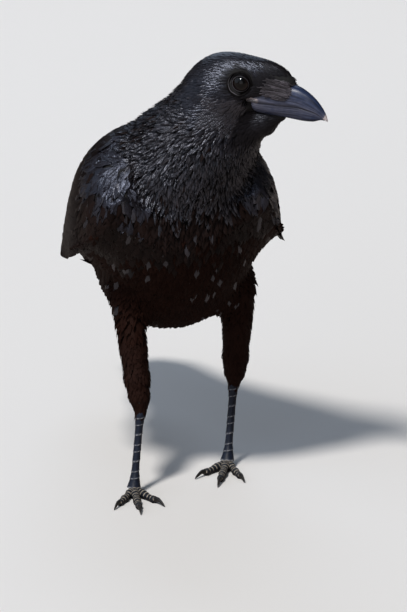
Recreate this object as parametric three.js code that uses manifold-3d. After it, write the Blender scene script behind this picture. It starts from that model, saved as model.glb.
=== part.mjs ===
// A carrion crow standing at life size, as a still museum model: body facing -Y, head turned to its left.
// Millimetres, +Z up. Left is the bird's own left, at +X. The group is shifted at the end so that the
// middle of its base is the origin and the soles stand on z = 0.
import * as THREE from "three";
import { mergeVertices } from "three/addons/utils/BufferGeometryUtils.js";
import Module from "manifold-3d";

const wasm = await Module();
wasm.setup();

// ---------------------------------------------------------------- driving dimensions
const GAP = 0.3; // between neighbouring solids
const CLEARANCE = 0.5; // cut round the flesh wherever another solid lies against it
const TRUNK_PITCH = 42; // degrees, breast up
const TRUNK_CENTRE = [2, 4, 206];
const TRUNK_HALF_WIDTH = 64;

const HEAD_AT = [43, -72, 343]; // on the head's middle plane, level with the eyes
const HEAD_YAW = 51; // degrees to the left of straight ahead
const HEAD_PITCH = -9;
const EYE_RADIUS = 8;
const EYE_PROUD = 2.2; // how far the eyeball stands out of the face
const EYE_PLACE = { forward: 0.2, up: -0.65 }; // in the head's own frame
const GAPE = 5; // along the head's axis from the eyes to the corner of the mouth
const BILL_TIP = 70;

const ANKLE_HEIGHT = 64;
const TOE_JOINT_HEIGHT = 8;
const LEGS = {
  right: { knee: [-38, 0, 156], ankle: [-31, -19], foot: [-38, -26], heading: -8 },
  left: { knee: [53, 12, 151], ankle: [55, 39], foot: [47, 27], heading: -18 },
};
const ANKLE_CUT = 67; // height where the feathers end and the bare tarsus begins
const TARSUS_RADIUS = 2.8;

// Each wing: how far its lower edge stands out and up beyond the tables, and how full its shoulder is.
const WINGS = {
  right: { side: -1, spread: 3, lift: 5, fullness: 0.8 },
  left: { side: 1, spread: -1, lift: 9, fullness: 0.58 },
};
const TAIL_LENGTH = 182;
const TAIL_PITCH = -19;
const TAIL_ROOT = [1, 86, 170];

// ---------------------------------------------------------------- small helpers
const vec = (p) => new THREE.Vector3(...p);
const mix = THREE.MathUtils.lerp;
const clamp = THREE.MathUtils.clamp;
const radians = THREE.MathUtils.degToRad;

// A frame: position and three unit axes, from a heading (0 faces -Y, positive to the left) and a pitch.
// Its local coordinates are [forward, right, up].
function frameOf(at, heading, pitch) {
  const h = radians(heading);
  const p = radians(pitch);
  const forward = vec([Math.sin(h) * Math.cos(p), -Math.cos(h) * Math.cos(p), Math.sin(p)]);
  const right = new THREE.Vector3().crossVectors(forward, vec([0, 0, 1])).normalize();
  const up = new THREE.Vector3().crossVectors(right, forward);
  return { at: vec(at), forward, right, up };
}

function toWorld(frame, [f, r, u]) {
  return frame.at
    .clone()
    .addScaledVector(frame.forward, f)
    .addScaledVector(frame.right, r)
    .addScaledVector(frame.up, u);
}

function toLocal(frame, point) {
  const d = point.clone().sub(frame.at);
  return [d.dot(frame.forward), d.dot(frame.right), d.dot(frame.up)];
}

// A smooth value along a short table of [position, value] rows, through monotone cubic steps.
function along(rows, x) {
  const last = rows.length - 1;
  if (x <= rows[0][0]) return rows[0][1];
  if (x >= rows[last][0]) return rows[last][1];
  const i = rows.findIndex((row) => row[0] > x) - 1;
  const slope = (k) => (rows[k + 1][1] - rows[k][1]) / (rows[k + 1][0] - rows[k][0]);
  const tangent = (k) => {
    if (k === 0) return slope(0);
    if (k === last) return slope(last - 1);
    const [a, b] = [slope(k - 1), slope(k)];
    return a * b <= 0 ? 0 : (2 * a * b) / (a + b);
  };
  const span = rows[i + 1][0] - rows[i][0];
  const t = (x - rows[i][0]) / span;
  const [t2, t3] = [t * t, t * t * t];
  return (
    (2 * t3 - 3 * t2 + 1) * rows[i][1] +
    (t3 - 2 * t2 + t) * span * tangent(i) +
    (3 * t2 - 2 * t3) * rows[i + 1][1] +
    (t3 - t2) * span * tangent(i + 1)
  );
}

// ---------------------------------------------------------------- solids by blended fields
// A field is a function of a point, negative inside. Ellipsoids and tapered limbs are blended softly.
function ellipsoid(frame, centre, half) {
  const middle = toWorld(frame, centre);
  const local = { ...frame, at: middle };
  return (p) => {
    const q = toLocal(local, p);
    const a = Math.hypot(q[0] / half[0], q[1] / half[1], q[2] / half[2]);
    const b = Math.hypot(q[0] / half[0] ** 2, q[1] / half[1] ** 2, q[2] / half[2] ** 2);
    return b < 1e-9 ? -Math.min(...half) : (a * (a - 1)) / b;
  };
}

function limb(from, to, startRadius, endRadius) {
  const axis = to.clone().sub(from);
  const lengthSq = axis.lengthSq();
  return (p) => {
    const d = p.clone().sub(from);
    const t = clamp(d.dot(axis) / lengthSq, 0, 1);
    return d.addScaledVector(axis, -t).length() - mix(startRadius, endRadius, t);
  };
}

function blend(fields, softness) {
  return (p) => {
    let best = Infinity;
    for (const field of fields) {
      const d = field(p);
      const h = Math.max(softness - Math.abs(best - d), 0) / softness;
      best = best === Infinity ? d : Math.min(best, d) - (h * h * softness) / 4;
    }
    return best;
  };
}

const headFrame = frameOf(HEAD_AT, HEAD_YAW, HEAD_PITCH);
const tailFrame = frameOf(TAIL_ROOT, 180, TAIL_PITCH);
const trunkFrame = frameOf(TRUNK_CENTRE, 0, TRUNK_PITCH);

function headField() {
  const part = (centre, half) => ellipsoid(headFrame, centre, half);
  const cheek = (side) => part([-8.5, side * 8.5, -13], [16, 10.5, 15.5]);
  const at = (forward, up) => toWorld(headFrame, [forward, 0, up]);
  return blend(
    [
      part([-4, 0, -3.8], [32, 17.5, 20.4]), // brain case
      part([17, 0, 1.2], [23, 9.2, 16.2]), // forehead
      part([20, 0, -8], [21, 6.8, 12]), // lores and bill base
      cheek(-1),
      cheek(1),
      limb(at(32, -23), at(19, -30), 3.6, 7.5), // chin
      limb(at(18, -34), at(-4, -44), 8.5, 19), // throat
    ],
    8,
  );
}

function neckField() {
  const spine = [
    [vec([1, -10, 234]), 60],
    [vec([5, -27, 265]), 47.5],
    [vec([16, -45.4, 293]), 36.5],
    [toWorld(headFrame, [-25, 0, -21]), 27.5],
  ];
  const links = spine.slice(1).map(([to, end], i) => limb(spine[i][0], to, spine[i][1], end));
  return blend(links, 18);
}

function trunkField() {
  const part = (centre, half) => ellipsoid(trunkFrame, centre, half);
  const wide = TRUNK_HALF_WIDTH;
  return blend(
    [
      part([10, 0, 0], [62, wide, 56]), // breast
      part([-32, 0, -9.5], [74, wide - 4, 54.5]), // belly
      part([-14, 0, 14], [80, wide - 12, 44]), // back
      ellipsoid(tailFrame, [-14, 0, -9], [66, 31, 20]), // rump and the coverts round the tail
    ],
    22,
  );
}

function legField({ knee, ankle }) {
  const bottom = vec([...ankle, ANKLE_HEIGHT + 1]);
  const top = vec(knee);
  const calf = top.clone().lerp(bottom, 0.74);
  const cuff = top.clone().lerp(bottom, 0.89);
  return blend(
    [
      limb(top, calf, 15, 9.8), // feathered thigh
      limb(calf, cuff, 9.4, 7.8), // feathered shin
      limb(cuff, bottom, 7.4, 3.9), // feather cuff above the ankle
    ],
    6,
  );
}

const SOFTNESS = 14;
const bodyParts = [trunkField(), neckField(), headField()];
const body = blend(bodyParts, SOFTNESS);
const flesh = blend([...bodyParts, legField(LEGS.right), legField(LEGS.left)], SOFTNESS);

const boxField = (low, high) => (p) =>
  Math.max(low[0] - p.x, p.x - high[0], low[1] - p.y, p.y - high[1], low[2] - p.z, p.z - high[2]);

function gradient(field, p) {
  const step = 0.05;
  const d = (x, y, z) => field(vec([p.x + x, p.y + y, p.z + z]));
  return vec([
    d(step, 0, 0) - d(-step, 0, 0),
    d(0, step, 0) - d(0, -step, 0),
    d(0, 0, step) - d(0, 0, -step),
  ]).divideScalar(2 * step);
}

// Surface nets: one vertex in each cell that the surface crosses, pulled onto the surface, and one
// quad round each crossed edge of the grid. The clearance is the same mesh, pushed out a little.
function polygonize(shape, low, high, cell) {
  const field = (p) => Math.max(shape(p), boxField(low, high)(p));
  const size = low.map((l, i) => Math.ceil((high[i] - l) / cell) + 3);
  const place = (i, j, k) =>
    vec([low[0] + (i - 1) * cell, low[1] + (j - 1) * cell, low[2] + (k - 1) * cell]);
  const at = (i, j, k) => (i * size[1] + j) * size[2] + k;
  const values = new Float64Array(size[0] * size[1] * size[2]);
  for (let i = 0; i < size[0]; i++)
    for (let j = 0; j < size[1]; j++)
      for (let k = 0; k < size[2]; k++) values[at(i, j, k)] = field(place(i, j, k));

  const positions = [];
  const vertexOf = new Map();
  const corners = [0, 1, 2, 3, 4, 5, 6, 7].map((c) => [c & 1, (c >> 1) & 1, c >> 2]);
  const edges = [];
  for (let a = 0; a < 8; a++)
    for (const bit of [1, 2, 4]) if (!(a & bit)) edges.push([a, a | bit]);
  function vertex(i, j, k) {
    const key = at(i, j, k);
    if (vertexOf.has(key)) return vertexOf.get(key);
    const sum = vec([0, 0, 0]);
    let crossings = 0;
    for (const [a, b] of edges) {
      const [ca, cb] = [corners[a], corners[b]];
      const va = values[at(i + ca[0], j + ca[1], k + ca[2])];
      const vb = values[at(i + cb[0], j + cb[1], k + cb[2])];
      if (va < 0 === vb < 0) continue;
      const start = place(i + ca[0], j + ca[1], k + ca[2]);
      sum.add(start.lerp(place(i + cb[0], j + cb[1], k + cb[2]), va / (va - vb)));
      crossings++;
    }
    sum.divideScalar(crossings);
    for (let pass = 0; pass < 3; pass++) {
      const slope = gradient(field, sum);
      const pull = field(sum) / Math.max(slope.lengthSq(), 0.2);
      sum.addScaledVector(slope, -clamp(pull, -0.3 * cell, 0.3 * cell));
    }
    positions.push(sum.x, sum.y, sum.z);
    vertexOf.set(key, positions.length / 3 - 1);
    return positions.length / 3 - 1;
  }

  const pointAt = (index) => vec(positions.slice(index * 3, index * 3 + 3));
  const triangles = [];
  const axes = [
    [1, 0, 0],
    [0, 1, 0],
    [0, 0, 1],
  ];
  for (let i = 1; i < size[0] - 1; i++)
    for (let j = 1; j < size[1] - 1; j++)
      for (let k = 1; k < size[2] - 1; k++)
        axes.forEach((step, axis) => {
          const inside = values[at(i, j, k)] < 0;
          if (inside === values[at(i + step[0], j + step[1], k + step[2])] < 0) return;
          const [u, v] = [axes[(axis + 1) % 3], axes[(axis + 2) % 3]];
          const cellAt = (a, b) =>
            vertex(i - a * u[0] - b * v[0], j - a * u[1] - b * v[1], k - a * u[2] - b * v[2]);
          const ring = [cellAt(1, 1), cellAt(0, 1), cellAt(0, 0), cellAt(1, 0)];
          if (!inside) ring.reverse();
          const far = (a, b) => pointAt(ring[a]).distanceTo(pointAt(ring[b]));
          if (far(0, 2) > far(1, 3)) ring.push(ring.shift());
          triangles.push(ring[0], ring[1], ring[2], ring[0], ring[2], ring[3]);
        });
  const outward = (p) => gradient(field, p).normalize();
  const grownBy = (by) =>
    positions.map((_, i) => {
      const p = pointAt(Math.floor(i / 3));
      return p.addScaledVector(outward(p), by).getComponent(i % 3);
    });
  return {
    plain: solid(positions, triangles),
    clearance: solid(grownBy(CLEARANCE), triangles),
  };
}

// ---------------------------------------------------------------- solids by lofting rings
function solid(positions, triangles) {
  return new wasm.Manifold(
    new wasm.Mesh({
      numProp: 3,
      vertProperties: new Float32Array(positions),
      triVerts: new Uint32Array(triangles),
    }),
  );
}

// Skins a list of rings of equal length, and closes each end on the middle of its ring.
function loft(rings) {
  const n = rings[0].length;
  const positions = rings.flat().flatMap((p) => [p.x, p.y, p.z]);
  const triangles = [];
  for (let r = 0; r + 1 < rings.length; r++)
    for (let i = 0; i < n; i++) {
      const [a, b] = [r * n + i, r * n + ((i + 1) % n)];
      triangles.push(a, b, b + n, a, b + n, a + n);
    }
  for (const [ring, flip] of [
    [0, true],
    [rings.length - 1, false],
  ]) {
    const middle = rings[ring].reduce((sum, p) => sum.add(p), vec([0, 0, 0])).divideScalar(n);
    const centre = positions.length / 3;
    positions.push(middle.x, middle.y, middle.z);
    for (let i = 0; i < n; i++) {
      const [a, b] = [ring * n + i, ring * n + ((i + 1) % n)];
      triangles.push(...(flip ? [b, a, centre] : [a, b, centre]));
    }
  }
  const made = solid(positions, triangles);
  return made.volume() < 0 ? solid(positions, turned(triangles)) : made;
}

function turned(triangles) {
  const out = triangles.slice();
  for (let i = 0; i < out.length; i += 3) [out[i + 1], out[i + 2]] = [out[i + 2], out[i + 1]];
  return out;
}

// A solid from any closed three.js geometry.
function fromGeometry(geometry) {
  geometry.deleteAttribute("normal");
  geometry.deleteAttribute("uv");
  const merged = mergeVertices(geometry, 1e-3);
  return solid(merged.attributes.position.array, merged.index.array);
}

// The half of space on the side of a plane that its normal points to, as a large box.
function halfSpace(point, normal) {
  const reach = 900;
  const box = new THREE.BoxGeometry(reach, reach, reach);
  box.translate(0, 0, reach / 2);
  box.applyQuaternion(
    new THREE.Quaternion().setFromUnitVectors(vec([0, 0, 1]), normal.clone().normalize()),
  );
  box.translate(point.x, point.y, point.z);
  return fromGeometry(box);
}

const blockOf = (low, high) => {
  const box = new THREE.BoxGeometry(...high.map((h, i) => h - low[i]));
  box.translate(...high.map((h, i) => (h + low[i]) / 2));
  return fromGeometry(box);
};

// A tube with an oval section along a curve. width and height give the half-sizes at each share of it.
function tube(points, width, height, { sides = 8, steps = 8, up = [0, 0, 1] } = {}) {
  const curve = new THREE.CatmullRomCurve3(points, false, "centripetal");
  const rings = [];
  for (let s = 0; s <= steps; s++) {
    const t = s / steps;
    const centre = curve.getPointAt(t);
    const tangent = curve.getTangentAt(t);
    const across = new THREE.Vector3().crossVectors(tangent, vec(up)).normalize();
    const rise = new THREE.Vector3().crossVectors(across, tangent);
    const ring = [];
    for (let i = 0; i < sides; i++) {
      const angle = ((i + 0.5) / sides) * 2 * Math.PI;
      ring.push(
        centre
          .clone()
          .addScaledVector(across, Math.cos(angle) * width(t))
          .addScaledVector(rise, Math.sin(angle) * height(t)),
      );
    }
    rings.push(ring);
  }
  return loft(rings);
}

// ---------------------------------------------------------------- head, neck, trunk and feathered legs
const headCut = {
  at: toWorld(headFrame, [-20, 0, -28]),
  normal: headFrame.forward.clone().multiplyScalar(0.75).addScaledVector(headFrame.up, 1).normalize(),
};
const neckCut = {
  at: vec([9, -32, 264]),
  normal: vec([0.2, -0.5, 0.84]).normalize(),
};
const shifted = (cut, by) => cut.at.clone().addScaledVector(cut.normal, by);
const side = (cut, sign, gap = GAP / 2) =>
  halfSpace(shifted(cut, sign * gap), cut.normal.clone().multiplyScalar(sign));

const HEAD_CELL = 5.7;
const TRUNK_CELL = 13.4;
const LEG_CELL = 6.5;
const LEG_REACH = 13; // how far the thigh's root flares out over the belly

const wholeHead = polygonize(body, [-30, -140, 268], [120, 15, 386], HEAD_CELL);
const wholeBody = polygonize(body, [-90, -130, 90], [95, 160, 336], TRUNK_CELL);
const head = wholeHead.plain.intersect(side(headCut, 1));
const neck = wholeBody.plain.intersect(side(headCut, -1)).intersect(side(neckCut, 1));
const trunk = wholeBody.plain.intersect(side(neckCut, -1));

// The feathered leg: what the flesh adds below the belly, near the leg.
function thigh(leg) {
  const near = legField(leg);
  const shape = (p) => Math.max(flesh(p), near(p) - LEG_REACH);
  const [x, y] = leg.ankle;
  const whole = polygonize(shape, [x - 45, y - 60, ANKLE_CUT - 12], [x + 40, y + 45, 175], LEG_CELL);
  const aboveAnkle = halfSpace(vec([0, 0, ANKLE_CUT]), vec([0, 0, 1]));
  return whole.plain.subtract(wholeBody.clearance).intersect(aboveAnkle);
}

// ---------------------------------------------------------------- bill and eyes
// The bill's outline in the head's frame: rows of [forward, value].
const CULMEN = [
  [8, 4.5],
  [30, 5],
  [42, 4.4],
  [50, 2.2],
  [57, -1.2],
  [63, -5.6],
  [67.5, -10.4],
  [BILL_TIP, -15],
];
const BILL_HALF_WIDTH = [
  [GAPE, 13.2],
  [12, 12.6],
  [20, 11.6],
  [28, 10.4],
  [34, 9.4],
  [46, 6.8],
  [58, 4.2],
  [65, 2.2],
  [BILL_TIP, 0.6],
];
const GONYS = [
  [GAPE, -22],
  [14, -23.8],
  [24, -23],
  [36, -21.9],
  [49, -20.9],
  [58, -19.2],
  [66, -15.8],
];
const TOMIUM = [
  [GAPE, -14.2],
  [18, -13],
  [32, -11.4],
  [47, -9.8],
  [59, -11],
  [66, -14],
  [BILL_TIP, -15.8],
];

// One half of the bill: each ring is an arch from edge to edge over the ridge and back along the mouth.
function mandible(ridge, dropped, sides = 8) {
  const start = GAPE + 1;
  const steps = 11;
  const sharpness = 0.8;
  const sign = ridge === CULMEN ? 1 : -1;
  const rings = [];
  for (let s = 0; s <= steps - dropped; s++) {
    const f = mix(start, BILL_TIP, (s / steps) ** 0.9);
    const edge = along(TOMIUM, f) + (sign * GAP) / 2;
    const tall = Math.max(Math.abs(along(ridge, f) - edge), 0.35);
    const wide = along(BILL_HALF_WIDTH, f) * (sign < 0 ? 0.93 : 1);
    const ring = [];
    for (let i = 0; i <= sides; i++) {
      const angle = (i / sides) * Math.PI;
      const across = Math.sign(Math.cos(angle)) * Math.abs(Math.cos(angle)) ** sharpness;
      const rise = Math.sin(angle) ** 0.9;
      ring.push(toWorld(headFrame, [f, wide * across, edge + sign * tall * rise]));
    }
    rings.push(ring);
  }
  return loft(rings);
}

// The face gives way on either side of the mouth, so that the bill's own flanks show back to the gape.
function mouthRecess(gap = 0) {
  const wide = 30;
  const edges = [
    [GAPE + 1, -23.5, -7.5],
    [28, -21.5, -7],
    [46, -18.5, -6],
  ];
  return loft(
    edges.map(([forward, low, high]) =>
      [
        [-wide, low + gap],
        [wide, low + gap],
        [wide, high - gap],
        [-wide, high - gap],
      ].map(([across, up]) => toWorld(headFrame, [forward + gap, across, up])),
    ),
  );
}

// The eyeball's centre lies under the face's own surface, so that it stands a little proud of it.
function eyeAt(side) {
  const { forward, up } = EYE_PLACE;
  let [inner, outer] = [5, 35];
  while (outer - inner > 0.01) {
    const middle = (inner + outer) / 2;
    if (body(toWorld(headFrame, [forward, side * middle, up])) < 0) inner = middle;
    else outer = middle;
  }
  return toWorld(headFrame, [forward, side * (inner + EYE_PROUD - EYE_RADIUS), up]);
}

function ball(centre, radius) {
  const sphere = new THREE.IcosahedronGeometry(radius, 2);
  sphere.translate(centre.x, centre.y, centre.z);
  return fromGeometry(sphere);
}
const eyes = { right: ball(eyeAt(1), EYE_RADIUS), left: ball(eyeAt(-1), EYE_RADIUS) };
const sockets = ball(eyeAt(1), EYE_RADIUS + GAP).add(ball(eyeAt(-1), EYE_RADIUS + GAP));

// ---------------------------------------------------------------- bare legs, toes and claws
const SOLE = halfSpace(vec([0, 0, 0]), vec([0, 0, 1]));
const BELOW_ANKLE = halfSpace(vec([0, 0, ANKLE_CUT - GAP]), vec([0, 0, -1]));

function tarsus({ ankle, foot }, extra = 0) {
  const top = vec([...ankle, ANKLE_CUT + 2]);
  const bottom = vec([...foot, TOE_JOINT_HEIGHT - 1.5 - extra]);
  const girth = [
    [0, 4.4],
    [0.12, 3.6],
    [0.3, TARSUS_RADIUS],
    [0.75, TARSUS_RADIUS],
    [0.88, 3.7],
    [1, 5.2],
  ];
  return tube(
    [top, top.clone().lerp(bottom, 0.5), bottom],
    (t) => along(girth, t) + extra,
    (t) => along(girth, t) * 1.18 + extra,
    { sides: 8, steps: 7, up: [0, -1, 0] },
  ).intersect(BELOW_ANKLE);
}

// Each toe: its angle from the foot's heading, its length to the claw, its girth and its joints.
const TOES = {
  middle: { turn: 2, reach: 40, radius: 3.2, joints: 3, claw: 14 },
  inner: { turn: 32, reach: 28, radius: 3.1, joints: 2, claw: 13 },
  outer: { turn: -24, reach: 32, radius: 2.9, joints: 3, claw: 12 },
  hallux: { turn: 174, reach: 21, radius: 3.4, joints: 1, claw: 17 },
};

// turn is positive towards the body's middle on either foot.
function toePath(leg, toe, inward) {
  const heading = radians(leg.heading + toe.turn * inward);
  const forward = vec([Math.sin(heading), -Math.cos(heading), 0]);
  const root = vec([...leg.foot, 0]);
  const at = (along, height) => root.clone().addScaledVector(forward, along).setZ(height);
  return { forward, at };
}

function toeSolid(leg, toe, inward, extra = 0) {
  const { at } = toePath(leg, toe, inward);
  const rest = toe.radius * 0.86; // the pads are pressed flat by this much less than their girth
  const swell = (t) => 1 + 0.13 * Math.cos(2 * Math.PI * toe.joints * t);
  const girth = (t) => toe.radius * swell(t) * mix(1.1, 0.86, t) + extra;
  const knuckles = [
    at(1, TOE_JOINT_HEIGHT - 2.6),
    at(toe.reach * 0.3, rest + 0.9),
    at(toe.reach * 0.65, rest),
    at(toe.reach, rest - 0.2),
  ];
  return tube(
    knuckles,
    girth,
    girth,
    { sides: 6, steps: toe.joints * 2 + 1 },
  ).intersect(SOLE);
}

function clawSolid(leg, toe, inward) {
  const { at } = toePath(leg, toe, inward);
  const start = toe.reach + GAP - 0.6;
  const long = toe.claw;
  const rise = toe.radius * 0.9;
  const girth = (t) => toe.radius * 0.62 * (1 - t) ** 0.75 + 0.32;
  const hook = [
    at(start, rise),
    at(start + long * 0.42, rise + 1.3),
    at(start + long * 0.8, rise - 0.5),
    at(start + long, 0.75),
  ];
  return tube(
    hook,
    (t) => girth(t) * 0.72,
    girth,
    { sides: 5, steps: 4 },
  ).intersect(SOLE);
}

// ---------------------------------------------------------------- wings and tail
// A folded wing is a shell over the flank. Rows run from the wing's front to its tip, by y.
const WING_TOP = {
  out: [[-62, 52], [-40, 40], [0, 22], [60, 10], [150, 6], [210, 9], [242, 17]],
  height: [[-62, 248], [-40, 274], [0, 290], [50, 264], [110, 216], [180, 166], [215, 142], [242, 125]],
};
const WING_EDGE = {
  out: [[-62, 60], [-40, 74], [-10, 81], [20, 81], [60, 73], [120, 54], [180, 38], [215, 31], [242, 20]],
  height: [[-62, 224], [-40, 202], [-10, 189], [20, 185], [60, 176], [120, 156], [180, 135], [242, 122]],
};
const WING_BULGE = [[-62, 6], [-40, 22], [0, 33], [60, 22], [140, 10], [242, 1]];
const WING_THICKNESS = [[-62, 3], [-40, 14], [0, 20], [60, 13], [140, 6], [242, 1.6]];
const WING_FRONT = -62;
const WING_TIP = 242;
const FLIGHT_CUT = 62; // y where the coverts end and the folded flight feathers go on alone

function wingRings(wing, from, to, steps) {
  const rings = [];
  const across = 5;
  for (let s = 0; s <= steps; s++) {
    const y = mix(from, to, s / steps);
    const fade = clamp((WING_TIP - y) / 200, 0, 1);
    const spread = wing.spread * fade;
    const lift = wing.lift * fade;
    const notch = 2.4 * Math.abs(Math.sin((y / 21) * Math.PI)) * clamp((y + 60) / 30, 0, 1);
    const top = vec([along(WING_TOP.out, y), y, along(WING_TOP.height, y)]);
    const edge = vec([along(WING_EDGE.out, y) + spread, y, along(WING_EDGE.height, y) + lift + notch]);
    const middle = top.clone().lerp(edge, 0.5);
    const outward = vec([edge.z - top.z, 0, -(edge.x - top.x)]).normalize().negate();
    const thick = along(WING_THICKNESS, y);
    const arc = (t, offset) => {
      const p = top.clone().lerp(edge, t);
      const swell = Math.sin(Math.PI * Math.pow(t, 0.8));
      return p.addScaledVector(outward, along(WING_BULGE, y) * wing.fullness * swell + offset);
    };
    const ring = [];
    for (let i = 0; i <= across; i++) ring.push(arc(i / across, 0));
    for (let i = across - 1; i > 0; i--) {
      const t = i / across;
      ring.push(arc(t, -thick * Math.min(1, 4 * t * (1 - t) + 0.25)));
    }
    rings.push(ring.map((p) => vec([p.x * wing.side, p.y, p.z])));
  }
  return rings;
}

function tailSolid(extra = 0) {
  const steps = 8;
  const sides = 14;
  const half = [
    [-15, 14],
    [60, 20],
    [140, 26],
    [166, 26.5],
    [176, 23],
    [TAIL_LENGTH, 14],
  ];
  const rings = [];
  for (let s = 0; s <= steps; s++) {
    const f = mix(-15, TAIL_LENGTH, (s / steps) ** 0.45);
    const wide = along(half, f) + extra;
    const thick = mix(3.4, 1.4, clamp(f / TAIL_LENGTH, 0, 1)) + extra;
    const ring = [];
    for (let i = 0; i < sides; i++) {
      const angle = ((i + 0.5) / sides) * 2 * Math.PI;
      const r = Math.sign(Math.cos(angle)) * Math.abs(Math.cos(angle)) ** 0.8;
      const droop = -3.2 * r * r;
      ring.push(toWorld(tailFrame, [f, wide * r, droop + thick * Math.sin(angle)]));
    }
    rings.push(ring);
  }
  return loft(rings);
}
const tailClearance = tailSolid(GAP + 0.2);

function wingParts(wing) {
  const fit = (made) =>
    made.subtract(wholeBody.clearance).subtract(wholeHead.clearance).subtract(tailClearance);
  return {
    wing: fit(loft(wingRings(wing, WING_FRONT, FLIGHT_CUT - GAP, 11))),
    flight: fit(loft(wingRings(wing, FLIGHT_CUT, WING_TIP, 11))),
  };
}

// ---------------------------------------------------------------- the group
const plumage = new THREE.MeshStandardMaterial({ color: 0x0d0e12, roughness: 0.55, metalness: 0 });
const flightBlack = new THREE.MeshStandardMaterial({ color: 0x0f1118, roughness: 0.42, metalness: 0 });
const horn = new THREE.MeshStandardMaterial({ color: 0x17181c, roughness: 0.35, metalness: 0 });
const scutes = new THREE.MeshStandardMaterial({ color: 0x1c2229, roughness: 0.5, metalness: 0 });
const eyeBrown = new THREE.MeshStandardMaterial({ color: 0x120a07, roughness: 0.08, metalness: 0 });

const group = new THREE.Group();

// The largest body of a cut solid. Slivers that a cut leaves beside it are dropped.
function largest(made) {
  return made.decompose().reduce((best, s) => (s.volume() > best.volume() ? s : best));
}

function addNode(name, made, material) {
  const { vertProperties, triVerts, numProp, numVert } = largest(made).getMesh();
  const positions = new Float32Array(numVert * 3);
  for (let i = 0; i < numVert; i++)
    positions.set(vertProperties.subarray(i * numProp, i * numProp + 3), i * 3);
  const geometry = new THREE.BufferGeometry();
  geometry.setAttribute("position", new THREE.BufferAttribute(positions, 3));
  geometry.setIndex(new THREE.BufferAttribute(triVerts, 1));
  geometry.computeVertexNormals();
  const mesh = new THREE.Mesh(geometry, material);
  mesh.name = name;
  group.add(mesh);
}

const faceClearance = wholeHead.clearance.subtract(mouthRecess(GAP));
const upperBill = mandible(CULMEN, 0).subtract(faceClearance);
const lowerBill = mandible(GONYS, 1).subtract(faceClearance);
addNode("head", head.subtract(mouthRecess()).subtract(sockets), plumage);
addNode("neck", neck, plumage);
addNode("trunk", trunk, plumage);
addNode("bill_upper", upperBill, horn);
addNode("bill_lower", lowerBill, horn);
addNode("tail", tailSolid().subtract(wholeBody.clearance), flightBlack);

for (const [name, leg] of Object.entries(LEGS)) {
  const inward = name === "right" ? 1 : -1;
  const parts = wingParts(WINGS[name]);
  addNode("eye_" + name, eyes[name], eyeBrown);
  addNode("wing_" + name, parts.wing, plumage);
  addNode("flight_feathers_" + name, parts.flight, flightBlack);
  addNode("thigh_" + name, thigh(leg), plumage);

  const shank = tarsus(leg);
  let foot = tarsus(leg, GAP);
  addNode("tarsus_" + name, shank.intersect(SOLE), scutes);
  for (const [digit, toe] of Object.entries(TOES)) {
    const bone = toeSolid(leg, toe, inward);
    const claw = clawSolid(leg, toe, inward);
    addNode(`toe_${digit}_${name}`, bone.subtract(foot), scutes);
    foot = foot.add(toeSolid(leg, toe, inward, GAP));
    addNode(`claw_${digit}_${name}`, claw.subtract(bone), horn);
  }
}

// The middle of the base becomes the origin, with the soles on z = 0.
const bounds = new THREE.Box3().setFromObject(group);
const middle = bounds.getCenter(new THREE.Vector3());
for (const mesh of group.children) mesh.geometry.translate(-middle.x, -middle.y, -bounds.min.z);

export default group;
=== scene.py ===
import math

import bpy
import numpy as np
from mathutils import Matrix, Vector
from mathutils.bvhtree import BVHTree
from mathutils.kdtree import KDTree


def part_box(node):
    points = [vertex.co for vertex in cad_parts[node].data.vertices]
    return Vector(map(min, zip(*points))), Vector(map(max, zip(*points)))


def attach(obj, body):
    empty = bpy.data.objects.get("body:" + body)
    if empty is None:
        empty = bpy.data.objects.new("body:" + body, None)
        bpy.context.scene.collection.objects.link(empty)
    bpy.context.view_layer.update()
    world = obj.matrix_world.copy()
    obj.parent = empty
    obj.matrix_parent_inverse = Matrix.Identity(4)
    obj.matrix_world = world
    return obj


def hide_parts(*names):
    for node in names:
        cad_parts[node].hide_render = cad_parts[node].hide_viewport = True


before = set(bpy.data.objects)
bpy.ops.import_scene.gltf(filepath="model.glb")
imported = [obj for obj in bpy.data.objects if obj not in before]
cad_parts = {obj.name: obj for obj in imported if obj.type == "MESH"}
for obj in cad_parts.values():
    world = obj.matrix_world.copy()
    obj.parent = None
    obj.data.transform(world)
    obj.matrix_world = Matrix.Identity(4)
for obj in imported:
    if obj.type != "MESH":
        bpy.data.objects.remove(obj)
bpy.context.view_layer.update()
rng = np.random.default_rng(7)


# ------------------------------------------------------------------ frames and smooth fields
def length_of(v):
    return np.linalg.norm(v, axis=-1)


def unit(v):
    return v / np.maximum(length_of(v)[..., None], 1e-9)


def stacked(*coordinates):
    """Points from their coordinates."""
    return np.stack(np.broadcast_arrays(*coordinates), -1)


def around(sides):
    return np.linspace(0, 2 * np.pi, sides, endpoint=False)


class Axes:
    """A place with three unit axes, [forward, right, up]. Heading 0 faces -Y, positive to the left."""

    def __init__(self, at, heading, pitch):
        h, p = math.radians(heading), math.radians(pitch)
        self.at = np.array(at, float)
        forward = np.array([math.sin(h) * math.cos(p), -math.cos(h) * math.cos(p), math.sin(p)])
        right = unit(np.cross(forward, [0, 0, 1]))
        self.rows = np.array([forward, right, np.cross(right, forward)])

    def world(self, local):
        return self.at + np.asarray(local, float) @ self.rows

    def local(self, points):
        return (points - self.at) @ self.rows.T

    def split(self, points):
        """How far forward, right and up the points are."""
        return np.moveaxis(self.local(points), -1, 0)

    def turn(self, direction):
        return np.asarray(direction, float) @ self.rows


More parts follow.
